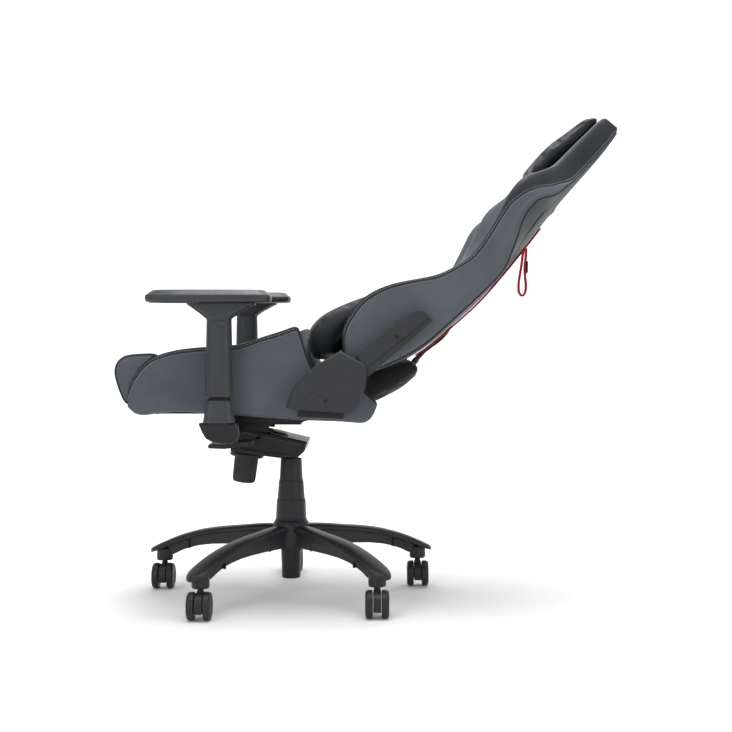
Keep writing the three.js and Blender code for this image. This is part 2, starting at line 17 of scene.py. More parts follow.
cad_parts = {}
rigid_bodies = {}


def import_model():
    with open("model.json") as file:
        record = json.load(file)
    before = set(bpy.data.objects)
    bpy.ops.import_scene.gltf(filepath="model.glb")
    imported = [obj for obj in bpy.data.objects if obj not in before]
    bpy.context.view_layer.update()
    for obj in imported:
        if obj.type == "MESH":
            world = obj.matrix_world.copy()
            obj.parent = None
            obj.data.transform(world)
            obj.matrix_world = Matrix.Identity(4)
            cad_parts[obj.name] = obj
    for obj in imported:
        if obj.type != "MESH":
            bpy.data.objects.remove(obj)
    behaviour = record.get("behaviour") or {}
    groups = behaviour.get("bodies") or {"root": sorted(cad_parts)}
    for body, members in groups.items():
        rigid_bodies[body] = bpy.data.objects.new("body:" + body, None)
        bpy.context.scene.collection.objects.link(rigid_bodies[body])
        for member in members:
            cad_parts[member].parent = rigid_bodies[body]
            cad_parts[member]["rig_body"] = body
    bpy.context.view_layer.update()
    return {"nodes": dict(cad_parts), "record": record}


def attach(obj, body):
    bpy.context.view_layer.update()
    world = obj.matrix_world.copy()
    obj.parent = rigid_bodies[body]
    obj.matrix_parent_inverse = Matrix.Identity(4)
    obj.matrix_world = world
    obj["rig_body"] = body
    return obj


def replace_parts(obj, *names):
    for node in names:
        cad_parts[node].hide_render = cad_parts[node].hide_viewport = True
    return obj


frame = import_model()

# %% [markdown]
# ## Camera
# The chair is looked at square from its left side, a little above the seat. A lens of
# 62 mm from three metres keeps the far armrest nearly behind the near one. A small shift
# of the lens frames the chair without tilting the camera, so uprights stay upright.

# %% Camera
lens = bpy.data.cameras.new("side_view")
LENS_MM, SENSOR_MM = 61.97, 36
LENS_SHIFT = (-0.016393, -0.032787)
CAMERA_PLACE = (3.04, 0.0214, 0.606)
lens.sensor_width, lens.lens = SENSOR_MM, LENS_MM
lens.shift_x, lens.shift_y = LENS_SHIFT
lens.dof.use_dof = False
camera = bpy.data.objects.new("side_view", lens)
camera.location = CAMERA_PLACE
camera.rotation_euler = (math.radians(90), 0, math.radians(90))
bpy.context.scene.collection.objects.link(camera)
bpy.context.scene.camera = camera

# %% [markdown]
# ## Two drawing boards
# The seat and base are drawn in millimetres from the gas column. The backrest is drawn
# upright from its recline hinge, in millimetres, and one matrix leans it back by
# 45 degrees. Numbers stay round and easy to check that way.

# %% Drawing boards
MM = Matrix.Diagonal((0.001, 0.001, 0.001, 1))
COLUMN = (0, -0.188, 0)
HINGE = (0, -0.095, 0.480)
LEAN = math.radians(-45)
CHAIR = Matrix.Translation(COLUMN) @ MM
BACK = Matrix.Translation(HINGE) @ Matrix.Rotation(LEAN, 4, "X") @ MM
SIDES = {"left": 1, "right": -1}

# %% [markdown]
# ## Ring by ring
# Most pieces of a chair are long shapes whose section changes slowly: a bolster, a leg,
# a hose. Such a shape can be lofted. One circle is placed on the first section, then it
# is extruded along edge by edge, and each new ring is moved on to the next section.
# The rings keep their order, so each column of faces can take its own leather.

# %% Loft helper
def loft(rings, columns=None, capped=True):
    bm = bmesh.new()
    ring = bmesh.ops.create_circle(bm, segments=len(rings[0]), radius=1)["verts"]
    for v, p in zip(ring, rings[0]):
        v.co = p
    for points in rings[1:]:
        edges = [bm.edges.get(pair) for pair in zip(ring, ring[1:] + ring[:1])]
        made = bmesh.ops.extrude_edge_only(bm, edges=edges)["geom"]
        new = {v for v in made if isinstance(v, bmesh.types.BMVert)}
        faces = {f for f in made if isinstance(f, bmesh.types.BMFace)}
        for edge, finish_index in zip(edges, columns or []):
            for f in edge.link_faces:
                if f in faces:
                    f.material_index = finish_index
        ring = [next(e.other_vert(v) for e in v.link_edges if e.other_vert(v) in new) for v in ring]
        for v, p in zip(ring, points):
            v.co = p
    if capped:
        bmesh.ops.holes_fill(bm, edges=bm.edges[:], sides=0)
    return bm


# %% Smooth curves through measured points
def along(*table):
    keys = [k for k, _ in table]
    values = [v for _, v in table]
    last = len(keys) - 1
    slopes = []
    for i in range(last + 1):
        a, b = max(i - 1, 0), min(i + 1, last)
        slopes.append((values[b] - values[a]) / (keys[b] - keys[a]))

    def at(s):
        s = min(max(s, keys[0]), keys[-1])
        i = min(max(bisect.bisect_right(keys, s) - 1, 0), last - 1)
        h = keys[i + 1] - keys[i]
        t = (s - keys[i]) / h
        return (
            values[i] * (1 + 2 * t) * (1 - t) ** 2
            + values[i + 1] * t * t * (3 - 2 * t)
            + h * t * (1 - t) * (slopes[i] * (1 - t) - slopes[i + 1] * t)
        )

    return at


def through(points, steps, closed=False):
    """Points on a smooth line through the given ones, with that many steps in each span."""
    points = [Vector(p) for p in points]
    count = len(points)
    spans = count if closed else count - 1
    steps = steps if isinstance(steps, list) else [steps] * spans
    made = []
    for i in range(spans):
        if closed:
            a, b, c, d = (points[(i + k) % count] for k in (-1, 0, 1, 2))
        else:
            b, c = points[i], points[i + 1]
            a = points[i - 1] if i else b * 2 - c
            d = points[i + 2] if i + 2 < count else c * 2 - b
        for k in range(steps[i]):
            t = k / steps[i]
            made.append(
                b + ((c - a) * t + (a * 2 - b * 5 + c * 4 - d) * t**2 + (b * 3 - a - c * 3 + d) * t**3) / 2
            )
    return made if closed else [*made, points[-1]]


def evenly(points, step):
    """The same line with its points a fixed step apart."""
    points = [Vector(p) for p in points]
    lengths = [0.0]
    for a, b in zip(points, points[1:]):
        lengths.append(lengths[-1] + (b - a).length)
    count = max(2, round(lengths[-1] / step))
    made = []
    for k in range(count + 1):
        s = lengths[-1] * k / count
        i = min(max(bisect.bisect_right(lengths, s) - 1, 0), len(points) - 2)
        span = lengths[i + 1] - lengths[i]
        made.append(points[i].lerp(points[i + 1], (s - lengths[i]) / span if span else 0))
    return made


# %% Round lines: piping, cable and tubes
def round_line(points, radius, sides=10, closed=False):
    points = [Vector(p) for p in points]
    count = len(points)
    radii = radius if isinstance(radius, list) else [radius] * count
    rings = []
    side = None
    for i, p in enumerate(points):
        ahead = points[(i + 1) % count] if closed or i < count - 1 else p
        behind = points[i - 1] if closed or i else p
        way = (ahead - behind).normalized()
        side = way.orthogonal() if side is None else side - way * side.dot(way)
        side.normalize()
        other = way.cross(side)
        turn = [2 * math.pi * k / sides for k in range(sides)]
        rings.append([p + (side * math.cos(a) + other * math.sin(a)) * radii[i] for a in turn])
    return loft(rings)


# %% [markdown]
# ## Finishing a piece
# Every piece ends the same way: its mesh is put in place, its normals are turned outwards,
# sharp corners stay crisp and the rest is shaded smooth. Subdivision rounds soft pieces.

# %% Piece helper
def piece(name, bm, place, body, finishes, soften=0, crisp=35, flip=1):
    bmesh.ops.transform(bm, matrix=Matrix.Diagonal((flip, 1, 1, 1)), verts=bm.verts)
    bmesh.ops.transform(bm, matrix=place, verts=bm.verts)
    bmesh.ops.recalc_face_normals(bm, faces=bm.faces)
    for f in bm.faces:
        f.smooth = True
    for e in bm.edges:
        e.smooth = len(e.link_faces) < 2 or e.calc_face_angle(0) < math.radians(crisp)
    mesh = bpy.data.meshes.new(name)
    bm.to_mesh(mesh)
    bm.free()
    for finish in finishes if isinstance(finishes, list) else [finishes]:
        mesh.materials.append(finish)
    obj = bpy.data.objects.new(name, mesh)
    bpy.context.scene.collection.objects.link(obj)
    if soften:
        rounding = obj.modifiers.new("rounding", "SUBSURF")
        rounding.levels = rounding.render_levels = soften
    else:
        obj.modifiers.new("even_shading", "WEIGHTED_NORMAL").keep_sharp = True
    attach(obj, body)
    return obj


# %% [markdown]
# ## Finishes
# Each finish is named after its slot in the parts record. Synthetic leather has a fine
# pebble grain, fine creases, and a slow change of tone from stretching over foam.
# Moulded plastic has a much finer spark-eroded texture and edges that rub a little lighter.

# %% Finish helper
SLOTS = [m["slot"] for m in frame["record"]["materials"]]


def nodes_for(name, roughness, metallic=0.0, sheen=0.0):
    finish = bpy.data.materials.new(name)
    finish["slot"] = name if name in SLOTS else "grey_leather"
    finish.use_nodes = True
    shader = finish.node_tree.nodes["Principled BSDF"]
    shader.inputs["Roughness"].default_value = roughness
    shader.inputs["Metallic"].default_value = metallic
    shader.inputs["Specular IOR Level"].default_value = 0.3
    shader.inputs["Sheen Weight"].default_value = sheen
    shader.inputs["Sheen Roughness"].default_value = 0.4
    return finish, finish.node_tree, shader


def node(tree, kind, **settings):
    made = tree.nodes.new("ShaderNode" + kind)
    for key, value in settings.items():
        if key in made.inputs:
            made.inputs[key].default_value = value
        else:
            setattr(made, key, value)
    return made


def ramp_between(tree, source, low, high, start=0.35, stop=0.65):
    ramp = node(tree, "ValToRGB")
    ramp.color_ramp.elements[0].position = start
    ramp.color_ramp.elements[0].color = (*low, 1)
    ramp.color_ramp.elements[1].position = stop
    ramp.color_ramp.elements[1].color = (*high, 1)
    tree.links.new(source, ramp.inputs["Fac"])
    return ramp.outputs["Color"]


def level_between(tree, source, low, high):
    level = node(tree, "MapRange", **{"To Min": low, "To Max": high})
    tree.links.new(source, level.inputs["Value"])
    return level.outputs["Result"]


def rubbed_edges(tree, colour, lighter):
    """Convex edges show a lighter, rubbed tone."""
    shape = node(tree, "NewGeometry")
    where = node(tree, "MapRange", **{"From Min": 0.53, "From Max": 0.62, "To Max": 0.6})
    tree.links.new(shape.outputs["Pointiness"], where.inputs["Value"])
    mix = node(tree, "Mix", data_type="RGBA")
    mix.inputs["B"].default_value = (*lighter, 1)
    tree.links.new(where.outputs["Result"], mix.inputs["Factor"])
    tree.links.new(colour, mix.inputs["A"])
    return mix.outputs["Result"]


# %% Leather
def leather(name, dark, light, roughness, grain=0.35):
    finish, tree, shader = nodes_for(name, roughness)
    place = node(tree, "TexCoord").outputs["Object"]
    drift = node(tree, "TexNoise", Scale=9.0, Detail=3.0)
    pebbles = node(tree, "TexVoronoi", feature="DISTANCE_TO_EDGE", Scale=820.0)
    creases = node(tree, "TexNoise", Scale=260.0, Detail=5.0, Roughness=0.6)
    for texture in (drift, pebbles, creases):
        tree.links.new(place, texture.inputs["Vector"])
    tone = ramp_between(tree, drift.outputs["Fac"], dark, light)
    tree.links.new(rubbed_edges(tree, tone, [c * 1.35 for c in light]), shader.inputs["Base Color"])
    gloss = level_between(tree, creases.outputs["Fac"], roughness - 0.1, roughness + 0.1)
    tree.links.new(gloss, shader.inputs["Roughness"])
    fine = node(tree, "Bump", Strength=grain, Distance=0.0004)
    tree.links.new(pebbles.outputs["Distance"], fine.inputs["Height"])
    broad = node(tree, "Bump", Strength=0.25, Distance=0.0008)
    tree.links.new(creases.outputs["Fac"], broad.inputs["Height"])
    tree.links.new(fine.outputs["Normal"], broad.inputs["Normal"])
    tree.links.new(broad.outputs["Normal"], shader.inputs["Normal"])
    return finish


grey_leather = leather("grey_leather", (0.062, 0.069, 0.083), (0.078, 0.087, 0.105), 0.56)
black_leather = leather("black_leather", (0.010, 0.012, 0.015), (0.016, 0.018, 0.023), 0.5)

# %% Moulded plastic
def moulded(name, colour, roughness, texture=0.25):
    finish, tree, shader = nodes_for(name, roughness)
    place = node(tree, "TexCoord").outputs["Object"]
    flow = node(tree, "TexNoise", Scale=7.0, Detail=2.0)
    spark = node(tree, "TexNoise", Scale=2200.0, Detail=2.0)
    handling = node(tree, "TexNoise", Scale=38.0, Detail=6.0, Roughness=0.65)
    for texture_node in (flow, spark, handling):
        tree.links.new(place, texture_node.inputs["Vector"])
    tone = ramp_between(tree, flow.outputs["Fac"], [c * 0.88 for c in colour], [c * 1.12 for c in colour])
    tree.links.new(rubbed_edges(tree, tone, [c * 1.7 + 0.004 for c in colour]), shader.inputs["Base Color"])
    gloss = level_between(tree, handling.outputs["Fac"], roughness - 0.08, roughness + 0.08)
    tree.links.new(gloss, shader.inputs["Roughness"])
    bump = node(tree, "Bump", Strength=texture, Distance=0.0002)
    tree.links.new(spark.outputs["Fac"], bump.inputs["Height"])
    tree.links.new(bump.outputs["Normal"], shader.inputs["Normal"])
    return finish


nylon = moulded("nylon", (0.015, 0.016, 0.018), 0.42)
satin_plastic = moulded("satin_plastic", (0.034, 0.036, 0.040), 0.36)
cover_plastic = moulded("cover_plastic", (0.026, 0.027, 0.030), 0.5, 0.4)
black_steel = moulded("black_steel", (0.010, 0.010, 0.012), 0.34, 0.5)

# %% Bright metal
def turned_metal(name, colour, roughness):
    finish, tree, shader = nodes_for(name, roughness, metallic=1.0)
    place = node(tree, "TexCoord").outputs["Object"]
    marks = node(tree, "TexNoise", Scale=900.0, Detail=2.0)
    tree.links.new(place, marks.inputs["Vector"])
    tone = ramp_between(tree, marks.outputs["Fac"], [c * 0.9 for c in colour], colour)
    tree.links.new(tone, shader.inputs["Base Color"])
    tree.links.new(level_between(tree, marks.outputs["Fac"], roughness, roughness + 0.15),
        shader.inputs["Roughness"])
    return finish


chrome = turned_metal("chrome", (0.6, 0.6, 0.62), 0.12)

# %% Woven finishes
def woven(name, dark, light, thread):
    """Two crossing sets of threads; thread is the pitch in metres."""
    finish, tree, shader = nodes_for(name, 0.8, sheen=0.3)
    place = node(tree, "TexCoord").outputs["Object"]
    turned = node(tree, "Mapping")
    turned.inputs["Rotation"].default_value = (math.radians(45), 0, 0)
    tree.links.new(place, turned.inputs["Vector"])
    warp = node(tree, "TexWave", Scale=0.314 / thread, bands_direction="X")
    weft = node(tree, "TexWave", Scale=0.314 / thread, bands_direction="Z")
    both = node(tree, "Math", operation="MULTIPLY")
    for wave, slot_index in ((warp, 0), (weft, 1)):
        tree.links.new(turned.outputs["Vector"], wave.inputs["Vector"])
        tree.links.new(wave.outputs["Fac"], both.inputs[slot_index])
    tree.links.new(ramp_between(tree, both.outputs["Value"], dark, light, 0.1, 0.7),
        shader.inputs["Base Color"])
    bump = node(tree, "Bump", Strength=0.5, Distance=0.0005)
    tree.links.new(both.outputs["Value"], bump.inputs["Height"])
    tree.links.new(bump.outputs["Normal"], shader.inputs["Normal"])
    return finish


black_cloth = woven("black_cloth", (0.006, 0.006, 0.007), (0.014, 0.014, 0.015), 0.0011)
red_webbing = woven("red_webbing", (0.30, 0.002, 0.010), (0.56, 0.006, 0.026), 0.0016)
pale_thread = woven("pale_thread", (0.24, 0.25, 0.27), (0.42, 0.44, 0.46), 0.0004)
print("the record names these finishes:", SLOTS)

# %% [markdown]
# ## The cable
# A thin lead leaves the rear pouch, swings out behind the backrest and goes back in
# through a hole in the shell. It is held at both ends, so it bows like any short spare
# length. A small moulded sleeve guards it where it leaves the pouch.

# %% Cable
CABLE = [
    (0, 88, 204), (0, 88, 228), (0, 91, 252), (0, 94.5, 276), (0, 95, 298), (0, 90.5, 318), (0, 80, 334),
    (0, 66, 344),
]
cable_path = [BACK @ p for p in evenly(through(CABLE, 8), 6)]
cable = piece("cable", round_line(cable_path, 0.004, 14), Matrix(), "back", nylon)
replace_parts(cable, "cable")
SLEEVE = [(0, 90, 192), (0, 88, 208), (0, 88, 212), (0, 88.1, 220), (0, 88.6, 230)]
guard = piece("cable_guard", round_line(SLEEVE, [7.5, 7.5, 5.8, 5.2, 4.5], 18), BACK, "back", nylon)

# %% [markdown]
# ## Filling a cushion
# A real cushion takes its shape from filling that pushes its cover out. Cloth with air
# pressure inside does the same: the drawn shape is shrunk a little, given an even mesh,
# and blown up for twenty frames. Left alone the cloth would swell much too far, so no
# point may move further than a cap. On the two big cushions every point reaches the cap:
# there the cloth gives the direction of the swelling and the cap gives its size. Cloth
# isn't quite the same from run to run, and a point may land up to a millimetre away.

# %% Filling helper
FILLING_PRESSURE = 4.0
FILLING_FRAMES = 20


def filled(obj, voxel, shrink=0.004, cap=0.008):
    graph = bpy.context.evaluated_depsgraph_get()
    even = obj.modifiers.new("even_mesh", "REMESH")
    even.mode = "VOXEL"
    even.voxel_size = voxel
    graph.update()
    mesh = bpy.data.meshes.new_from_object(obj.evaluated_get(graph))
    obj.modifiers.clear()
    obj.data = mesh
    for v, normal in zip(mesh.vertices, [v.normal.copy() for v in mesh.vertices]):
        v.co -= normal * shrink
    rest = [v.co.copy() for v in mesh.vertices]
    cover = obj.modifiers.new("filling", "CLOTH")
    cover.settings.use_pressure = True
    cover.settings.uniform_pressure_force = FILLING_PRESSURE
    cover.settings.effector_weights.gravity = 0
    for frame_number in range(1, FILLING_FRAMES + 1):
        bpy.context.scene.frame_set(frame_number)
    blown = [v.co.copy() for v in obj.evaluated_get(bpy.context.evaluated_depsgraph_get()).data.vertices]
    obj.modifiers.clear()
    bpy.context.scene.frame_set(1)
    moved = 0
    for v, start, end in zip(mesh.vertices, rest, blown):
        step = end - start
        moved = max(moved, step.length)
        v.co = start + step * min(1, cap / max(step.length, 1e-9))
    for f in mesh.polygons:
        f.use_smooth = True
    rounding = obj.modifiers.new("rounding", "SUBSURF")
    rounding.levels = rounding.render_levels = 1
    print(obj.name, "filled:", len(mesh.polygons), "faces, furthest move", round(moved, 4))


# %% Padded piece helper
def padded(name, bm, place, body, finishes, fill, node_name=None, flip=1, **filling):
    """A soft piece; node_name is the plain solid it stands for, filling is how it is blown up."""
    obj = piece(name, bm, place, body, finishes, soften=1, crisp=180, flip=flip)
    if filling:
        filled(obj, **filling)
    if node_name:
        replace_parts(obj, node_name)
    return obj


# %% [markdown]
# ## Backrest side wings
# Each wing is a tall foam bolster: wide at the hips, thin at the waist, full again at the
# shoulder, and narrow beside the head. Its outer face is one grey panel. A seam of two
# thread rows follows the front edge, and a black band widens from it over the shoulder.
# The lines are drawn as curves over the height, so each section is only a list of points.

# %% Wing curves, in millimetres above the recline hinge
wing_half = along(
    (100, 249), (110, 250), (420, 250), (520, 254), (600, 258), (650, 252), (690, 230), (720, 200),
    (760, 172), (820, 156), (880, 147), (915, 140),
)
wing_front = along(
    (99, -40), (100, -46), (104, -50), (117, -64.5), (137, -80.6), (161, -90), (182, -94.6), (199, -97.4),
    (218, -97.4), (235, -94), (258, -87), (280, -78), (301, -65), (321, -52), (346, -34.5), (362.5, -23),
    (388, -12), (416, -4), (451, 3), (480, 3), (502, 0), (533, -8), (566, -17), (595, -29), (622, -37),
    (645, -40), (658, -39), (673, -36), (698, -23), (712, -18), (726, -11), (741, -7), (756, -7), (797, -8),
    (842, -8), (885, -8), (905, -5), (913, 4),
)
wing_seam = along(
    (100, -37), (104, -42), (117, -57), (137, -73.6), (161, -83), (182, -87.6), (199, -90.4), (218, -90.4),
    (235, -87), (258, -80), (280, -71), (301, -58), (321, -45), (346, -27.5), (362.5, -16), (388, -5),
    (416, 3), (448, 10), (481, 9), (512, 3), (545, -5), (572, -11), (597, -15), (621, -13),
    (646, -7), (671, 5), (696, 22), (714, 30), (730, 39), (748, 44), (784, 45), (832, 44),
    (885, 41), (905, 36), (913, 30),
)
wing_piping = along(
    (100, 22), (112, 28), (163, 50), (231, 70), (320, 77), (400, 80), (440, 81), (487, 77), (522, 62),
    (553, 48), (580, 33), (600, 25), (626, 21), (650, 23), (672, 36), (693, 45), (716, 45),
    (743, 48), (820, 48), (880, 45), (905, 39), (913, 32),
)
wing_bulge = along(
    (100, -20), (137, -56), (200, -70), (258, -60), (301, -46), (346, -20), (388, -6), (424, -2),
    (458, -13),
    (488, -23), (515, -33), (543, -42), (568, -42), (588, -38), (605, -31), (640, -28), (680, -16),
    (720, -5),
    (760, -3), (913, 2),
)
shell_rear = along(
    (95, 34), (163, 58), (231, 76), (300, 84), (405, 90), (507, 84), (600, 74), (700, 62),
    (800, 56), (880, 50), (910, 44),
)
cushion_front = along(
    (60, -55), (110, -55), (150, -51), (200, -45), (300, -30), (360, -6), (430, 12), (520, 10), (620, 7),
    (720, -3), (900, -3),
)
wing_inner = along((600, 168), (680, 168), (720, 138), (760, 110), (820, 96), (915, 92))


# %% Wing sections
WING_STEPS = [2, 4, 4, 3, 3, 3, 3, 3, 2]
WING_SKINS = [1] * 6 + [0] * 7 + [1] * 3 + [2] * 6 + [1] * 5


def wing_section(z):
    half, inner = wing_half(z), wing_inner(z)
    front, seam, piping = wing_front(z), wing_seam(z), wing_piping(z)
    rear = max(shell_rear(z) - 13, piping - 4)
    bulge = wing_bulge(z)
    guides = [
        (inner - 14, min(20, rear - 8), z),
        (inner - 10, rear - 1, z),
        (half - 6, piping, z),
        (half, (piping + seam) / 2, z),
        (half - 2.5, seam, z),
        (half - 12, front, z),
        ((half + inner) / 2 - 8, min(bulge, front + 34), z),
        (inner + 4, (bulge + cushion_front(z)) / 2 + 4, z),
        (inner - 12, cushion_front(z) + 10, z),
    ]
    return through(guides, WING_STEPS, closed=True)


wing_heights = [100, 102, 106, 113, 122, 134, 148, 163, 181, 200, 222, 246, 270, 296, 322, 348, 374, 400,
    424, 446, 466,
                486, 506, 528, 550, 572, 594, 612, 630, 646, 660, 674, 688, 702, 716, 730, 746, 768,
                796, 826, 856, 880, 896, 906, 912]
wings = {}
for side, flip in SIDES.items():
    bm = loft([wing_section(z) for z in wing_heights], WING_SKINS)
    wings[side] = padded(
        f"back_wing_{side}", bm, BACK, "back", [grey_leather, black_leather, grey_leather],
        0.9, f"back_bolster_{side}", flip=flip,
    )
print("one wing has", len(wings["left"].data.polygons), "faces before rounding")

# %% [markdown]
# ## Middle cushion and rear shell
# Between the wings lies the middle cushion, with an upholstered rear shell behind it.
# Both are lofted in the same way, and the shell's back is bowed from side to side.

# %% Middle cushion
def cushion_section(z):
    half, front = wing_inner(z) + 1, cushion_front(z)
    back_face = min(shell_rear(z) - 16, 30, (z - 64) * 0.9 - 28)
    guides = [
        (-half, front + 12, z), (-half * 0.5, front + 1, z), (0, front - 2, z), (half * 0.5, front + 1, z),
        (half, front + 12, z), (half - 4, back_face, z), (0, back_face, z), (4 - half, back_face, z),
    ]
    return through(guides, 3, closed=True)


cushion_heights = [64, 68, 80, 98, 116, 132, 160, 200, 250, 300, 350, 400, 450, 500, 550, 600, 650, 690,
    720, 760,
                   800, 840, 870, 892, 902, 906]
padded(
    "back_cushion_cover", loft([cushion_section(z) for z in cushion_heights]), BACK, "back",
    black_leather, 0.8, "back_cushion", voxel=0.008,
)

# %% Rear shell
def shell_section(z):
    half, rear = wing_inner(z) - 6, shell_rear(z)
    guides = [
        (-half, rear - 20, z), (-half, rear - 12, z), (-half * 0.5, rear + 1, z), (0, rear + 5, z),
        (half * 0.5, rear + 1, z), (half, rear - 12, z), (half, rear - 20, z), (0, rear - 13, z),
    ]
    return through(guides, 3, closed=True)


shell_heights = [96, 102, 120, 150, 190, 231, 270, 300, 350, 405, 460, 507, 560, 600, 650, 700, 750, 800,
                 850, 885, 902, 909]
padded(
    "back_shell_cover", loft([shell_section(z) for z in shell_heights]), BACK, "back",
    black_leather, 0.95, "back_shell",
)

# %% [markdown]
# ## Seams, piping and thread
# Piping is a cord sewn into a seam. It is a thin round line laid on the leather: each of its
# points is moved to the nearest place on the finished, rounded surface. Thread rows are
# short bars, one for each stitch, lying on the leather along the seam.

# %% Lay a line on a surface
def skin_of(*objs):
    graph = bpy.context.evaluated_depsgraph_get()
    graph.update()
    return [BVHTree.FromObject(o, graph) for o in objs]


def laid(skins, points, lift=0.0):
    """(place, outward direction) of the nearest skin for each point."""
    made = []
    for p in points:
        hits = [skin.find_nearest(p) for skin in skins]
        place, out, _, _ = min((h for h in hits if h[0]), key=lambda h: h[3])
        made.append((place + out * lift, out))
    return made


STITCH_PITCH = 0.0056
STITCH_SIZE = Matrix.Diagonal((0.0021, 0.0006, 0.0006, 1))
THREAD_GAP = 0.0034


def stitched(bm, line, side):
    """Adds one row of stitches along laid points, moved sideways by side."""
    places = [p for p, _ in line]
    rows = evenly(places, STITCH_PITCH)
    for a, b in zip(rows, rows[1:]):
        middle = (a + b) / 2
        out = min(line, key=lambda entry: (entry[0] - middle).length)[1]
        way = (b - a).normalized()
        across = way.cross(out).normalized()
        up = across.cross(way)
        turn = Matrix((way, across, up)).transposed().to_4x4()
        at = Matrix.Translation(middle + across * side + up * 0.0001)
        bmesh.ops.create_icosphere(bm, subdivisions=1, radius=1, matrix=at @ turn @ STITCH_SIZE)


def sewn(where, side, skins, points):
    """A thin seam laid on the leather, with a row of stitches on each side of it."""
    seam = laid(skins, points)
    line = round_line([p for p, _ in seam], 0.0011, 8)
    piece(f"{where}_seam_{side}", line, Matrix(), where, black_leather)
    threads = bmesh.new()
    stitched(threads, seam, THREAD_GAP)
    stitched(threads, seam, -THREAD_GAP)
    piece(f"{where}_thread_{side}", threads, Matrix(), where, pale_thread)


def mirrored_points(points, flip):
    return [Vector((p[0] * flip, p[1], p[2])) for p in points]


# %% Wing seams
def wing_line(curve, low, high, inset=2.5):
    count = round((high - low) / 7)
    heights = [low + (high - low) * k / count for k in range(count + 1)]
    return [BACK @ Vector((wing_half(z) - inset, curve(z), z)) for z in heights]


for side, flip in SIDES.items():
    skins = skin_of(wings[side])
    sewn("back", side, skins, mirrored_points(wing_line(wing_seam, 130, 900), flip))
    rear = laid(skins, mirrored_points(wing_line(wing_piping, 130, 900, inset=6), flip), 0.0004)
    piece(f"back_piping_{side}", round_line([p for p, _ in rear], 0.0022, 10), Matrix(),
        "back", black_leather)

# %% [markdown]
# ## Head pillow and lumbar pillow
# Both pillows are loose cushions held by straps. A flat-sided block of the right outline is
# blown up a little, as real filling does.

# %% Pillow blocks
def block_across(outline, stations):
    """An outline in Y and Z carried across the chair; each station is (x, scale, about)."""
    rings = []
    for x, scale, (cy, cz) in stations:
        rings.append([(x, cy + (y - cy) * scale, cz + (z - cz) * scale) for y, z in outline])
    return loft(rings)


def across(middle, *half):
    """Stations from side to side, from (x, scale) pairs of the left half, middle first."""
    half = [(x, scale, middle) for x, scale in half]
    return [(-x, scale, middle) for x, scale, _ in half[:0:-1]] + half


def flat_outline(points, steps=2):
    return [(p.x, p.y) for p in through([(a, b, 0) for a, b in points], steps, closed=True)]


HEAD_PILLOW = [
    (-4, 698), (-20, 692), (-38, 696), (-45, 730), (-46, 772), (-42, 803), (-36, 840), (-31, 874),
    (-26, 896), (-18, 907), (-7, 908), (-3, 895), (-4, 850), (-5, 800), (-5, 745),
]
stations = across((-22, 800), (0, 1), (80, 1), (118, 0.985), (126, 0.93), (128, 0.80))
padded(
    "head_pillow_cover", block_across(flat_outline(HEAD_PILLOW), stations), BACK, "head_pillow",
    black_leather, 0.7, "head_pillow", voxel=0.005,
)

LUMBAR = [
    (-60, 92), (-64, 56), (-72, 34), (-84, 27), (-100, 34), (-114, 43), (-130, 54), (-141, 76), (-142, 104),
    (-138, 130), (-123, 174), (-99, 228),
    (-84, 256), (-68, 262), (-57, 250), (-56, 200), (-58, 140),
]
stations = across((-96, 150), (0, 1), (90, 1), (138, 0.95), (148, 0.86), (150, 0.70))
padded(
    "lumbar_pillow_cover", block_across(flat_outline(LUMBAR), stations), BACK, "lumbar_pillow",
    black_leather, 0.7, "lumbar_pillow", voxel=0.006,
)

# %% [markdown]
# ## Seat side bolsters
# The seat's side is a long grey panel between a rising top edge and a nearly flat bottom.
# The top edge has a black band with two thread rows. The front ends in a curved seam, and
# the nose of the seat in front of it is a triangle of its own with piping all round.

# %% Seat side curves, in millimetres along the seat
seat_top = along(
    (-345.6, 466), (-344, 487), (-338, 512), (-328, 534), (-313, 554), (-294, 571), (-273, 580),
    (-260, 584),
    (-227, 591), (-172, 596), (-108, 599), (-80, 606), (-50, 617), (-6, 630), (24, 641),
    (31, 640), (37, 622), (44, 595), (55, 564), (66, 544), (90, 536), (130, 530), (170, 506), (196, 484),
    (208, 470),
)
seat_bottom = along(
    (-345.6, 462), (-344, 459), (-338, 452), (-331, 446), (-316, 442.5), (-291, 445.5), (-227, 452),
    (-183, 448), (38, 432), (137, 428), (181, 424), (190, 428), (198, 440), (205, 456), (208, 466),
)
SEAT_STEPS = [2, 3, 3, 3, 3, 3, 3, 2]
SEAT_SKINS = [0] * 11 + [1] * 11


def seat_section(y):
    low, high = seat_bottom(y), seat_top(y)
    tall = high - low
    band = min(8, tall * 0.2)
    guides = [
        (178, y, low + tall * 0.08),
        (243, y, low),
        (250, y, low + tall * 0.3),
        (251, y, low + tall * 0.68),
        (248, y, high - band),
        (238, y, high),
        (214, y, high - tall * 0.06),
        (174, y, low + tall * 0.62),
    ]
    return through(guides, SEAT_STEPS, closed=True)


seat_stations = [-345.5, -345, -344, -342, -339, -335, -330, -323, -315, -305, -292, -275, -250, -220, -185,
    -145, -105, -75, -45,
                 -15, 8, 22, 30, 35, 40, 46, 54, 64, 80, 105, 135, 160, 180, 195, 204, 208]
seat_sides = {}
for side, flip in SIDES.items():
    bm = loft([seat_section(y) for y in seat_stations], SEAT_SKINS)
    seat_sides[side] = padded(
        f"seat_side_{side}", bm, CHAIR, "seat", [grey_leather, black_leather],
        0.9, f"seat_bolster_{side}", flip=flip,
    )

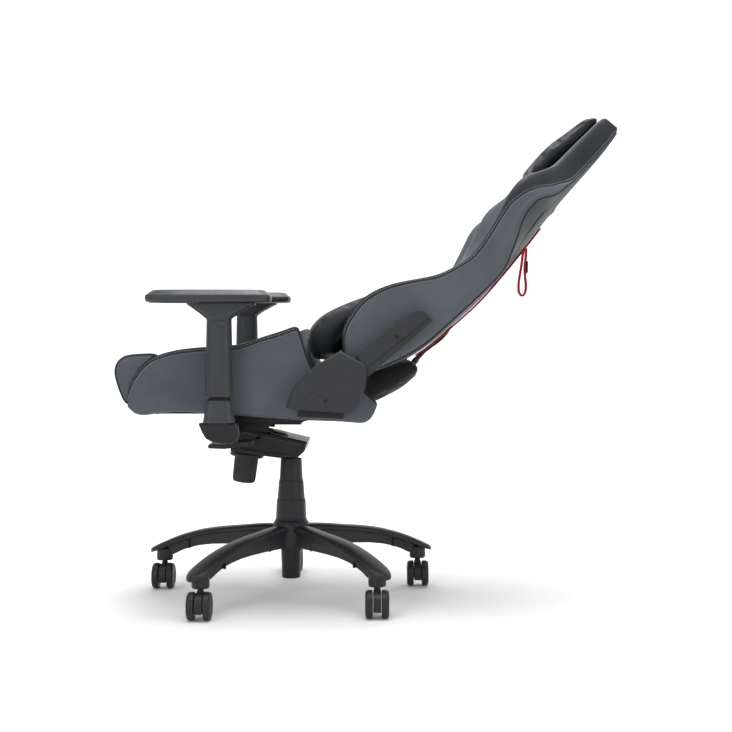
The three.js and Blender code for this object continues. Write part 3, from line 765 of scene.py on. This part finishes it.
# %% Seat nose
NOSE = [
    (-345, 462), (-356.5, 478), (-366, 503), (-373.6, 528), (-375, 543), (-372, 556), (-364, 567),
    (-352, 575),
    (-330, 578), (-305, 579), (-282, 580), (-294, 571), (-313, 554), (-328, 534), (-338, 512), (-344, 487),
]
NOSE_MIDDLE = Vector((0, -348, 538))
nose_ends = ((170, 1), (200, 1), (226, 1), (236, 0.99), (241, 0.95), (243, 0.85), (244, 0.4))
stations = [(x, scale, NOSE_MIDDLE.yz) for x, scale in nose_ends]
for side, flip in SIDES.items():
    nose = padded(
        f"seat_nose_{side}", block_across(flat_outline(NOSE, 1), stations), CHAIR, "seat",
        grey_leather, 0.9, flip=flip,
    )
    edge = []
    for y, z in flat_outline(NOSE, 3):
        place = NOSE_MIDDLE.lerp(Vector((0, y, z)), 0.985)
        edge.append(CHAIR @ Vector((239 * flip, place.y, place.z)))
    line = [p for p, _ in laid(skin_of(nose), edge, 0.0006)]
    piece(f"seat_nose_piping_{side}", round_line([*line, line[0]], 0.0028, 10), Matrix(),
        "seat", black_leather)

# %% Seat cushion
SEAT_MIDDLE = [
    (-346, 466), (-358, 482), (-366, 504), (-372, 530), (-371, 548), (-362, 562), (-347, 569), (-318, 570),
    (-290, 566), (-235, 554), (-180, 541), (-120, 529), (-60, 518), (-10, 509), (40, 502), (80, 496),
    (130, 490), (154, 483), (156, 468), (120, 463), (0, 463), (-150, 463), (-300, 463), (-330, 464),
]
stations = across((-110, 500), (0, 1), (110, 1), (158, 0.99), (167, 0.975), (169, 0.955))
padded(
    "seat_cushion_cover", block_across(flat_outline(SEAT_MIDDLE, 1), stations), CHAIR, "seat",
    black_leather, 0.8, "seat_cushion", voxel=0.008,
)

# %% Seat seams
def seat_line(stations_along, drop=9):
    made = []
    for y in stations_along:
        low, high = seat_bottom(y), seat_top(y)
        made.append(CHAIR @ Vector((248, y, high - min(drop, (high - low) * 0.25))))
    return made


band_stations = [-344.6, -343, -340.5, -337, -332, -326, -319, -311, -303, -294, -285, *range(-275, 26, 10)]
for side, flip in SIDES.items():
    skins = skin_of(seat_sides[side])
    sewn("seat", side, skins, mirrored_points(seat_line(band_stations), flip))
    end = [CHAIR @ Vector((244 * flip, y, seat_top(y) - 2)) for y in (31, 33, 36, 39, 42, 46, 51, 57, 64)]
    end = [p for p, _ in laid(skins, end, 0.0005)]
    piece(f"seat_end_piping_{side}", round_line(end, 0.0015, 10), Matrix(), "seat", black_leather)

# %% [markdown]
# ## Hard parts
# Moulded and pressed parts need three tools: an outline pulled into a plate with its edges
# bevelled, a profile spun about an axis, and a ring of rounded-rectangle sections. Bevels
# matter most, because a sharp edge never catches a highlight as a real moulded one does.

# %% Plate, turned part and rounded rectangle
def bevelled(bm, size, segments=3, angle=28):
    """Rounds every edge that turns by more than the angle."""
    sharp = [e for e in bm.edges if len(e.link_faces) == 2 and e.calc_face_angle() > math.radians(angle)]
    bmesh.ops.bevel(
        bm, geom=sharp, offset=size, offset_type="OFFSET", segments=segments, profile=0.5,
        affect="EDGES", material=-1, clamp_overlap=True,
    )
    return bm


def plate(outline, x0, x1, bevel=1.5, panel=None):
    """An outline in Y and Z pulled from x0 to x1; panel is (margin, depth) of a sunk or raised face."""
    bm = bmesh.new()
    ring = bmesh.ops.create_circle(bm, segments=len(outline), radius=1, cap_ends=True)["verts"]
    for v, (y, z) in zip(ring, outline):
        v.co = (x0, y, z)
    made = bmesh.ops.extrude_face_region(bm, geom=bm.faces[:])["geom"]
    moved = [g for g in made if isinstance(g, bmesh.types.BMVert)]
    bmesh.ops.translate(bm, verts=moved, vec=(x1 - x0, 0, 0))
    if panel:
        outer = [g for g in made if isinstance(g, bmesh.types.BMFace)]
        bmesh.ops.recalc_face_normals(bm, faces=bm.faces)
        bmesh.ops.inset_region(bm, faces=outer, thickness=panel[0], depth=panel[1])
    bmesh.ops.recalc_face_normals(bm, faces=bm.faces)
    return bevelled(bm, bevel)


def turned(profile, steps=64):
    """A profile of (radius, height) spun about Z."""
    bm = bmesh.new()
    verts = [bm.verts.new((r, 0, z)) for r, z in profile]
    edges = [bm.edges.new(pair) for pair in zip(verts, verts[1:])]
    bmesh.ops.spin(
        bm, geom=verts + edges, cent=(0, 0, 0), axis=(0, 0, 1), dvec=(0, 0, 0),
        angle=2 * math.pi, steps=steps, use_merge=True,
    )
    bmesh.ops.remove_doubles(bm, verts=bm.verts, dist=0.01)
    return bm


def rounded_ring(cx, cy, z, width, depth, radius, corner=6):
    made = []
    for quarter, (sx, sy) in enumerate(((1, 1), (-1, 1), (-1, -1), (1, -1))):
        for i in range(corner + 1):
            a = math.radians(90) * (quarter + i / corner)
            made.append((
                cx + sx * (width / 2 - radius) + radius * math.cos(a),
                cy + sy * (depth / 2 - radius) + radius * math.sin(a), z,
            ))
    return made


def joined(*bms):
    """Several shapes in one mesh."""
    whole = bmesh.new()
    for bm in bms:
        part = bpy.data.meshes.new("part")
        bm.to_mesh(part)
        bm.free()
        whole.from_mesh(part)
        bpy.data.meshes.remove(part)
    return whole


# %% Helpers that stand for a plain solid
def stand_in(node_name, name, bm, place, body, finish, **more):
    """A new piece that is shown in place of one plain solid."""
    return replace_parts(piece(name, bm, place, body, finish, **more), node_name)


def softened(name, finish, edge):
    """The plain solid with its loose triangles merged and its sharp edges rounded."""
    source = frame["nodes"][name]
    bm = bmesh.new()
    bm.from_mesh(source.data)
    bmesh.ops.remove_doubles(bm, verts=bm.verts, dist=1e-5)
    bmesh.ops.dissolve_limit(bm, angle_limit=math.radians(2), verts=bm.verts, edges=bm.edges)
    bevelled(bm, edge, segments=2, angle=34)
    for f in bm.faces:
        f.material_index = 0
    stand_in(name, name + "_rounded", bm, Matrix(), source["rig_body"], finish)


# %% [markdown]
# ## Five-star base
# Each leg is a thin arched cap over a deep web, moulded in one. The cap is lofted outwards
# with a crowned top that widens to an oval toe, the web hangs under it with two cross ribs,
# and a socket takes the caster's stem.

# %% One leg
cap_half = along((18, 22), (60, 21), (130, 21.5), (200, 24), (260, 27), (310, 29.5), (335, 29), (350, 24),
    (360, 16), (366, 6))
cap_top = along((18, 169), (50, 168.5), (90, 166), (127, 161.5), (180, 156), (234, 147), (290, 130),
    (330, 113), (355, 101), (366, 95))
cap_edge = along((18, 152), (127, 148), (200, 139), (260, 124), (300, 108), (330, 96), (366, 84))
web_low = along((18, 114), (120, 115), (200, 112), (240, 106), (275, 96), (304, 82))


def leg_cap():
    rings = []
    for r in (18, 40, 62, 90, 120, 150, 180, 210, 240, 268, 292, 312, 328, 340, 350, 357, 362, 365.5):
        w, top, edge = cap_half(r), cap_top(r), cap_edge(r)
        edge = min(edge, top - 5)
        rings.append([(r, y, z) for y, z in (
            (0, edge - 1), (w * 0.6, edge - 1), (w * 0.94, edge), (w, edge + 3),
            (w * 0.96, edge + (top - edge) * 0.5),
            (w * 0.8, top - 3.2), (w * 0.45, top - 0.8), (0, top), (-w * 0.45, top - 0.8),
            (-w * 0.8, top - 3.2),
            (-w * 0.96, edge + (top - edge) * 0.5), (-w, edge + 3), (-w * 0.94, edge), (-w * 0.6, edge - 1),
        )])
    return loft(rings)


def leg_web():
    rings = []
    for r in (18, 60, 110, 160, 200, 235, 262, 285, 304, 318):
        w, low = 13 - r * 0.012, web_low(min(r, 304))
        high = cap_edge(r) + 1
        rings.append([(r, w, high), (r, -w, high), (r, -w + 1.5, low + 1), (r, -w + 3, low),
            (r, w - 3, low), (r, w - 1.5, low + 1)])
    bm = loft(rings)
    ribs = []
    for r in (94, 262):
        w = cap_half(r) * 0.86
        low, high = web_low(r) - 1.5, cap_edge(r) + 1
        rib = bmesh.new()
        bmesh.ops.create_cube(rib, size=1, matrix=Matrix.Translation((r, 0,
            (low + high) / 2)) @ Matrix.Diagonal((3, w * 1.3, high - low, 1)))
        ribs.append(bevelled(rib, 0.8, 2))
    return joined(bm, *ribs)


LEGS = [39 + 72 * i for i in range(5)]
CASTER_RADIUS = 330
SOCKET = [(0, 95), (19, 95), (20, 78), (19.8, 70), (18.6, 67), (7, 67), (6, 70), (6, 95)]
caps, webs = [], []
for angle in LEGS:
    turn = Matrix.Rotation(math.radians(angle), 4, "Z")
    cap, web, socket = leg_cap(), leg_web(), turned(SOCKET, 48)
    bmesh.ops.translate(socket, verts=socket.verts, vec=(CASTER_RADIUS, 0, 0))
    for bm in (cap, web, socket):
        bmesh.ops.transform(bm, matrix=turn, verts=bm.verts)
    caps.append(cap)
    webs += [web, socket]
base_caps = piece("base_leg_caps", joined(*caps), CHAIR, "base", nylon, soften=1, crisp=180)
piece("base_leg_webs", joined(*webs), CHAIR, "base", nylon)
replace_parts(base_caps, "star_base")

# %% Hub and column
HUB = [
    (25.6, 112), (40, 112), (43, 116), (44.5, 124), (44.5, 165), (43.5, 170), (40, 176), (38, 178.2),
    (36, 179),
    (25.6, 179),
]
hub = turned([*HUB, HUB[0]], 72)
piece("base_hub", hub, CHAIR, "base", nylon)
TUBE = [(0, 39), (20.5, 39), (22, 40), (22.5, 60), (25, 110), (25, 213), (24, 214), (14.8, 214),
    (14.8, 200)]
stand_in("gas_outer_tube", "gas_outer_tube_turned", turned(TUBE), CHAIR, "base", black_steel)


def cover_tube(r0, r1, z0, z1):
    lip = 0.8
    outer = [(r0, z0), (r0 + lip, z0 + 0.3), (r0 + lip, z0 + 2.2), (r0 - 0.2, z0 + 3.2),
        (r1 + 0.1, z1 - 1.2), (r1 - 0.5, z1)]
    inner = [(r1 - 1.8, z1), (r0 - 1.8, z0), (r0, z0)]
    return turned([*outer, *inner], 72)


for name, sizes in (
    ("cover_lower", (37, 34.9, 179.3, 226)),
    ("cover_middle", (33.1, 29.7, 226.3, 272)),
    ("cover_upper", (28, 25.3, 272.3, 326)),
):
    body = frame["nodes"][name]["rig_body"]
    stand_in(name, name + "_turned", cover_tube(*sizes), CHAIR, body, nylon)

# %% [markdown]
# ## Casters
# A caster is a pair of wheels on one axle with a hood between them. The wheel is one spun
# profile with a rolled shoulder and a sunk hub cap. The hood is a thick arch on a stem.

# %% Casters
WHEEL = [
    (0, 9.6), (20, 9.6), (29.6, 10.4), (30.9, 11.8), (31, 14), (31, 20), (30.2, 23), (28.2, 25.4),
    (25.4, 26.4),
    (22.8, 26.2), (21.6, 25.2), (20.8, 24.8), (9, 24.6), (7.6, 25.4), (6.4, 25.8), (0, 26),
]
NECK = [(0, 50), (9.5, 50), (8.4, 57), (7.4, 60), (6.6, 63), (5.5, 66), (5.5, 96), (0, 96)]
WHEEL_RADIUS, TRAIL, HOOD_RADIUS = 31, 20, 28.5
arch = []
for a in range(-30, 211, 12):
    arch.append((HOOD_RADIUS * math.cos(math.radians(a)), HOOD_RADIUS * math.sin(math.radians(a))))
for i, angle in enumerate(LEGS, 1):
    turn = math.radians(angle)
    stem = Vector((CASTER_RADIUS * math.cos(turn), CASTER_RADIUS * math.sin(turn), 0))
    axle = stem + Vector((TRAIL, 0, WHEEL_RADIUS))
    at_axle = Matrix.Translation(axle)
    wheels = []
    for way in (1, -1):
        wheel = turned(WHEEL, 72)
        outward = Matrix.Rotation(math.radians(-90 * way), 4, "X")
        bmesh.ops.transform(wheel, matrix=at_axle @ outward, verts=wheel.verts)
        wheels.append(wheel)
    stand_in(
        f"caster_wheels_{i}", f"caster_{i}_wheel_pair", joined(*wheels), CHAIR, f"caster_{i}_wheels", nylon)
    hood = plate(arch, -8.7, 8.7, bevel=1.6)
    sideways = Matrix.Rotation(math.radians(90), 4, "Z")
    bmesh.ops.transform(hood, matrix=at_axle @ sideways, verts=hood.verts)
    neck = turned(NECK, 32)
    bmesh.ops.translate(neck, verts=neck.verts, vec=stem)
    stand_in(
        f"caster_hood_{i}", f"caster_{i}_hood_rounded", joined(hood, neck), CHAIR, f"caster_{i}", nylon)

# %% [markdown]
# ## Tilt mechanism
# Under the seat sits a pressed steel box on the column. A ribbed knob below it sets the
# tension, a flat paddle beside it locks the tilt. The knob is lofted with a fluted ring.

# %% Tension knob
def knob():
    rings = []
    for h, r, flute in (
        (-73, 12, 0), (-73, 20, 0), (-71.5, 24.5, 0.6), (-68.5, 27, 1.2), (-62, 27.9, 1.5), (-14, 29, 1.5),
        (-12, 29.4, 0.3), (-11, 38, 0), (-9.6, 40, 0), (-6, 41, 0), (-3, 40.2, 0), (-1.6, 37, 0),
        (-1, 12, 0),
    ):
        ring = []
        for k in range(120):
            a = 2 * math.pi * k / 120
            reach = r - flute * (0.5 - 0.5 * math.cos(24 * a))
            ring.append((reach * math.cos(a), reach * math.sin(a), h))
        rings.append(ring)
    return loft(rings)


lean = Matrix.Translation((0, -106, 341)) @ Matrix.Rotation(math.radians(-7), 4, "X")
stand_in("tension_knob", "tension_knob_ribbed", knob(), CHAIR @ lean, "knob", nylon)

# %% Housing, plates and levers
softened("tilt_housing", black_steel, 0.0022)
SIDE_PANEL = [(-128, 392), (-100, 396), (34, 366), (28, 346), (12, 340), (-24, 340), (-98, 350),
    (-126, 358)]
for side, flip in SIDES.items():
    panel = plate(SIDE_PANEL, 78, 82.5, 1.2, (7, -2.2))
    piece(f"housing_panel_{side}", panel, CHAIR, "chassis", black_steel, flip=flip)
RAMP = [(-46, 388), (-45, 392.8), (-41, 393.6), (-9, 386.4), (-5, 384), (-4, 378)]
ribs = []
for y in range(-40, -10, 5):
    fall = 0.231 * (y + 27)
    rib = [(y, 388 - fall), (y, 392.4 - fall), (y + 2.6, 391.8 - fall), (y + 2.6, 387.4 - fall)]
    ribs.append(plate(rib, -34, 34, 0.5))
piece("housing_ramp", joined(plate(RAMP, -36, 36, 1), *ribs), CHAIR, "chassis", black_steel)
WEB = [(-118, 400), (-60, 395.5), (-47, 394.5), (-44, 413), (-44, 421), (-118, 421)]
piece("seat_plate_webs", joined(plate(WEB, 88, 91, 0.8), plate(WEB, -91, -88, 0.8)),
    CHAIR, "seat", black_steel)
PAN = [(-230, 451), (-160, 440), (-128, 419), (28, 419), (70, 430), (120, 436), (150, 446), (120, 456),
    (-200, 456)]
piece("seat_pan_cover", plate(PAN, -126, 126, 3), CHAIR, "seat", black_steel)
for name, finish, edge in (
    ("tilt_lever", nylon, 0.0008), ("lift_lever", nylon, 0.0008), ("seat_plate", black_steel, 0.0008),
    ("recline_lever", cover_plastic, 0.002), ("arm_left_bracket", black_steel, 0.001),
    ("arm_right_bracket", black_steel, 0.001), ("arm_left_slide_plate", black_steel, 0.0008),
    ("arm_right_slide_plate", black_steel, 0.0008), ("recliner_left", black_steel, 0.0006),
    ("recliner_right", black_steel, 0.0006),
):
    softened(name, finish, edge)

# %% [markdown]
# ## Recliner covers
# The recline hinge hides under a faceted plastic cover on each side, and a second cover
# wraps the bracket that climbs the backrest. Both are plates with a raised field and a
# socket screw sunk in a round boss, and the hinge cover also has a thin moulded line.

# %% Recliner covers
FACET = [(46, 461.5), (100, 499), (128, 518), (177, 502), (167, 469), (157, 456), (137, 453)]
SLOT = [(24, 464), (40, 476), (60, 492), (76, 505), (79, 508)]
ARM_COVER = [(-21, 116), (-19, 130), (3, 280), (12, 289), (44, 291), (46, 284), (32, 104), (24, 100)]
ARM_FIELD = [(-17, 120), (-15, 132), (6, 278), (13, 285), (31, 286.5), (34, 283), (14, 106), (6, 107)]


SCREW = [(0, -3), (2.2, -3), (2.3, 0.9), (3.9, 0.9), (4.4, 0.4), (4.6, -1), (5.4, -1), (5.4, -3), (0, -3)]


def screw_at(y, z, x):
    head = turned([(r, x + h) for r, h in SCREW], 36)
    sideways = Matrix.Rotation(math.radians(90), 4, "Y")
    bmesh.ops.transform(head, matrix=Matrix.Translation((0, y, z)) @ sideways, verts=head.verts)
    return head


for side, flip in SIDES.items():
    body = frame["nodes"][f"hinge_cover_{side}"]["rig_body"]
    softened(f"hinge_cover_{side}", cover_plastic, 0.0016)
    piece(f"hinge_cover_{side}_facet", plate(FACET, 294, 296.2, 1.0), CHAIR, body, cover_plastic, flip=flip)
    line = round_line([(295.2, y, z) for y, z in SLOT], [0.5, 1.2, 1.2, 1.2, 0.5], 8)
    piece(f"hinge_cover_{side}_line", line, CHAIR, body, cover_plastic, flip=flip)
    piece(f"hinge_cover_{side}_screw", screw_at(95, 477.5, 297), CHAIR, body, black_steel, flip=flip)
    cover = joined(plate(ARM_COVER, 266.1, 281.5, 1.6), plate(ARM_FIELD, 280, 285.5, 1.5))
    stand_in(
        f"back_arm_cover_{side}", f"arm_cover_{side}_moulded", cover, BACK, "back", cover_plastic,
        flip=flip)
    piece(f"arm_cover_{side}_screw", screw_at(14, 209, 286.4), BACK, "back", black_steel, flip=flip)

# %% [markdown]
# ## Armrests
# The post is a sleeve that slides on a steel core. Sections of the sleeve are rounded
# rectangles that swell into a flared head. The pad on top has a tall upper chamfer, so it
# reads as thin from below, and sits on a sliding plate.

# %% Armrests
ARM_X, ARM_Y = 293, -137
PAD_X, PAD_Y = 305, -157
FAR_ARM_HIGHER = 0.018
pad_plan = [(24, -136), (40, -124), (47, -90), (50, -55), (50, 55), (47, 95), (41, 122), (24, 134)]
pad_plan = [*pad_plan, *[(-x, y) for x, y in reversed(pad_plan)]]
CHEEK = [
    (-182, 429.6), (-180, 424), (-173, 408), (-166, 396), (-152, 388), (-134, 384.5), (-110, 384),
    (-98, 389), (-94, 400), (-96, 429.6),
]


def pad_ring(z, inset):
    ring = []
    for x, y in pad_plan:
        ring.append((math.copysign(max(abs(x) - inset, 4), x), y * (1 - inset / 136), 0))
    return [(PAD_X + p.x, PAD_Y + p.y, z) for p in through(ring, 3, closed=True)]


def arm_loft(*rings):
    """Sections of a post; each is (height, width, depth, corner radius, shift backwards)."""
    return loft([rounded_ring(ARM_X, ARM_Y + shift, z, w, d, r) for z, w, d, r, shift in rings])


for side, flip in SIDES.items():
    upper, top = f"arm_{side}_upper", f"arm_{side}_pad"
    place = Matrix.Translation((0, 0, FAR_ARM_HIGHER if side == "right" else 0)) @ CHAIR
    pad = loft([pad_ring(z, inset) for z, inset in (
        (693, 24), (691.4, 14), (691.2, 7), (693, 2.2), (697, 0.4), (704, 0), (706.5, 0.8), (708.5, 2.6),
        (716.4, 12), (718.4, 15.2), (719, 19), (719, 23))])
    stand_in(top, f"{top}_moulded", pad, place, top, satin_plastic, crisp=50, flip=flip)
    sleeve = arm_loft(
        (489, 40, 54, 19, 0), (487, 44, 58, 21, 0), (487.4, 45.4, 60, 22, 0), (489, 46.2, 60.8, 22.5, 0),
        (560, 44.6, 58.6, 22, 0), (630, 42.6, 56, 21, 0), (654, 42, 55, 20.5, 0),
        (657, 42.6, 57.5, 20.5, 0),
        (658.5, 43.8, 61, 20.5, 0), (668, 45.4, 86, 20, 1), (681, 47.4, 128, 19, 4),
        (684.6, 48.4, 139, 18, 4.6),
        (685.4, 49.4, 144, 17, 5), (688, 50, 148.6, 17, 5), (690, 50, 149, 17, 5),
        (690.5, 48.6, 147, 16, 5),
        (690.5, 30, 100, 12, 5))
    stand_in(
        f"arm_{side}_sleeve", f"arm_{side}_sleeve_moulded", sleeve, place, upper, satin_plastic, flip=flip)
    tab = loft([rounded_ring(0, 0, z, w, d, 2.2, 4) for z, w, d in ((0, 13.6, 12), (3.2, 13.6, 12),
        (4, 12.4, 10.8))])
    oval = loft([rounded_ring(0, 0, z, w, d, w / 2 - 0.2) for z, w, d in (
        (0, 10, 28), (4.6, 10, 28), (6, 8.6, 26.6), (5.6, 5, 21), (5.2, 3, 18))])
    outward = Matrix.Rotation(math.radians(90), 4, "Y")
    for bm, height in ((tab, 657), (oval, 646)):
        bmesh.ops.transform(bm, matrix=Matrix.Translation((ARM_X + 18.2, -133, height)) @ outward,
            verts=bm.verts)
    button = f"arm_{side}_button"
    stand_in(button, f"{button}_moulded", joined(tab, oval), place, button, satin_plastic, flip=flip)
    shroud = arm_loft(
        (440, 28, 48, 8, 0), (430.6, 30, 50, 8, 0), (430, 47, 66, 18, 0), (430.6, 49, 68.2, 18, 0),
        (432, 50, 69, 18, 0), (474, 41.4, 57, 16, 0), (477, 40.6, 56, 16, 0), (478, 39.4, 54.8, 15, 0),
        (478, 30, 48, 12, 0))
    stand_in(
        f"arm_{side}_shroud", f"arm_{side}_shroud_moulded", shroud, CHAIR, "seat", satin_plastic, flip=flip)
    collar = arm_loft((476, 38, 52, 15, 0), (480, 38, 52, 15, 0), (480.6, 36, 50, 15, 0))
    piece(f"arm_{side}_collar", collar, CHAIR, "seat", black_steel, flip=flip)
    piece(f"arm_{side}_bracket_cheek", plate(CHEEK, 276, 303, 5), CHAIR, "seat", black_steel, flip=flip)

# %% [markdown]
# ## Pouch, webbing and strap
# A soft pouch hangs behind the hips. A red webbing runs up the middle of the rear shell to a
# black buckle at the shoulder, and a folded loop of the same webbing hangs from it. Webbing
# is a flat ribbon: a thin rectangle lofted along its path.

# %% Ribbon helper
def ribbon(path, width, thickness):
    """A flat band across the chair that follows a path in Y and Z."""
    points = [Vector((0, y, z)) for y, z in path]
    rings = []
    for i, p in enumerate(points):
        way = (points[min(i + 1, len(points) - 1)] - points[max(i - 1, 0)]).normalized()
        out = Vector((0, way.z, -way.y)) * thickness / 2
        half = Vector((width / 2, 0, 0))
        rings.append([p - half - out, p - half + out, p + half + out, p + half - out])
    return bevelled(loft(rings), thickness * 0.3, 2, 60)


# %% Webbing, buckle and strap loop
web_path = [(shell_rear(z) + 7.6, z) for z in range(212, 652, 11)]
piece("rear_webbing", ribbon(web_path, 38, 3.4), BACK, "back", red_webbing)
BUCKLE = [(62, 654), (70, 660), (71, 690), (66, 706), (60, 708), (58, 690), (60, 664)]
piece("rear_buckle", plate(BUCKLE, -17, 17, 1.6), BACK, "back", nylon)
STRAP = [
    (561, 832), (558, 812), (555, 788), (551, 765), (548.5, 745), (549.5, 726), (557, 717.5),
    (564.5, 726), (566, 745), (564, 765), (563.5, 788), (566, 812), (567, 832),
]
strap_path = [(p.y, p.z) for p in through([(0, y, z) for y, z in STRAP], 4)]
stand_in("strap_loop", "strap_loop_folded", ribbon(strap_path, 18, 5), CHAIR, "strap", red_webbing)
TAB = [(570.5, 801), (570, 774), (567.6, 771), (565.6, 773), (566, 801)]
piece("strap_tab", plate(TAB, -10, 10, 0.6), CHAIR, "strap", black_cloth)

# %% Pouch
POUCH = [
    (46, 66), (60, 53), (72, 50), (79, 50), (87, 77), (100, 115), (107, 147), (109, 175), (112, 190),
    (106, 202), (92, 203), (79, 202), (66, 180), (46, 140), (34, 112), (34, 88),
]
stations = across((80, 128), (0, 1), (70, 1), (118, 0.96), (126, 0.88), (128, 0.72))
padded(
    "rear_pouch_sewn", block_across(flat_outline(POUCH), stations), BACK, "back",
    black_cloth, 0.5, "rear_pouch", voxel=0.005, shrink=0.003, cap=0.006,
)

# %% Everything else keeps its shape and gets its finish
FINISHES = {m.get("slot"): m for m in (nylon, satin_plastic, cover_plastic, black_steel, chrome,
    black_leather, black_cloth)}
slot_of = {s["node"]: s["material_slot"] for s in frame["record"]["subparts"]}
for name, obj in frame["nodes"].items():
    if not obj.hide_render:
        finish = FINISHES.get(slot_of[name], black_steel)
        for material_slot in obj.material_slots:
            material_slot.material = finish
        print("kept as drawn:", name, finish.name)

# %% [markdown]
# ## Room and light
# A pale sweep stands for the studio: a floor that curves up into a wall. One large soft
# light hangs above, two weaker ones stand in front and behind, and one lights the wall.
# The air itself is bright, so dark leather keeps gentle highlights on its upper edges.

# %% Floor and backdrop
WALL_X, CURVE_RADIUS, WALL_TOP, CURVE_STEPS = -2.2, 1.5, 7, 12


def pulled(bm, edges, x, z):
    """Extrudes a row of edges to a new x and z, and gives back the new row."""
    made = bmesh.ops.extrude_edge_only(bm, edges=edges)["geom"]
    new = {v for v in made if isinstance(v, bmesh.types.BMVert)}
    for v in new:
        v.co.x, v.co.z = x, z
    return [e for e in made if isinstance(e, bmesh.types.BMEdge) and set(e.verts) <= new]


bm = bmesh.new()
bmesh.ops.create_grid(bm, x_segments=1, y_segments=1, size=9)
row = [e for e in bm.edges if all(v.co.x < -8 for v in e.verts)]
for v in row[0].verts:
    v.co.x = WALL_X
for k in range(1, CURVE_STEPS + 1):
    bend = math.radians(90) * k / CURVE_STEPS
    row = pulled(
        bm, row, WALL_X - CURVE_RADIUS * math.sin(bend), CURVE_RADIUS * (1 - math.cos(bend)))
pulled(bm, row, row[0].verts[0].co.x, WALL_TOP)
sweep_mesh = bpy.data.meshes.new("studio_sweep")
bmesh.ops.recalc_face_normals(bm, faces=bm.faces)
bm.to_mesh(sweep_mesh)
bm.free()
for f in sweep_mesh.polygons:
    f.use_smooth = True
paper, paper_tree, paper_shader = nodes_for("studio_paper", 0.9)
paper_shader.inputs["Base Color"].default_value = (0.92, 0.92, 0.92, 1)
sweep_mesh.materials.append(paper)
sweep = bpy.data.objects.new("studio_sweep", sweep_mesh)
bpy.context.scene.collection.objects.link(sweep)

# %% Lights
def soft_light(name, place, target, size, watts):
    lamp = bpy.data.lights.new(name, "AREA")
    lamp.shape = "DISK"
    lamp.size = size
    lamp.energy = watts
    obj = bpy.data.objects.new(name, lamp)
    obj.location = place
    obj.rotation_euler = (Vector(target) - Vector(place)).to_track_quat("-Z", "Y").to_euler()
    bpy.context.scene.collection.objects.link(obj)


soft_light("overhead", (0.4, -0.1, 3.2), (0, 0, 0.5), 2.2, 66)
soft_light("front_side", (3.2, -1.8, 1.8), (0, 0, 0.5), 1.6, 24)
soft_light("rear_side", (2.4, 2.6, 1.4), (0, 0.2, 0.6), 1.4, 16)
soft_light("backdrop", (-1.6, 0, 4.4), (-4, 0, 0.8), 2.4, 110)
bpy.context.scene.view_settings.view_transform = "Standard"
world = bpy.data.worlds.new("studio_air")
world.use_nodes = True
world.node_tree.nodes["Background"].inputs["Color"].default_value = (1, 1, 1, 1)
world.node_tree.nodes["Background"].inputs["Strength"].default_value = 0.62
bpy.context.scene.world = world
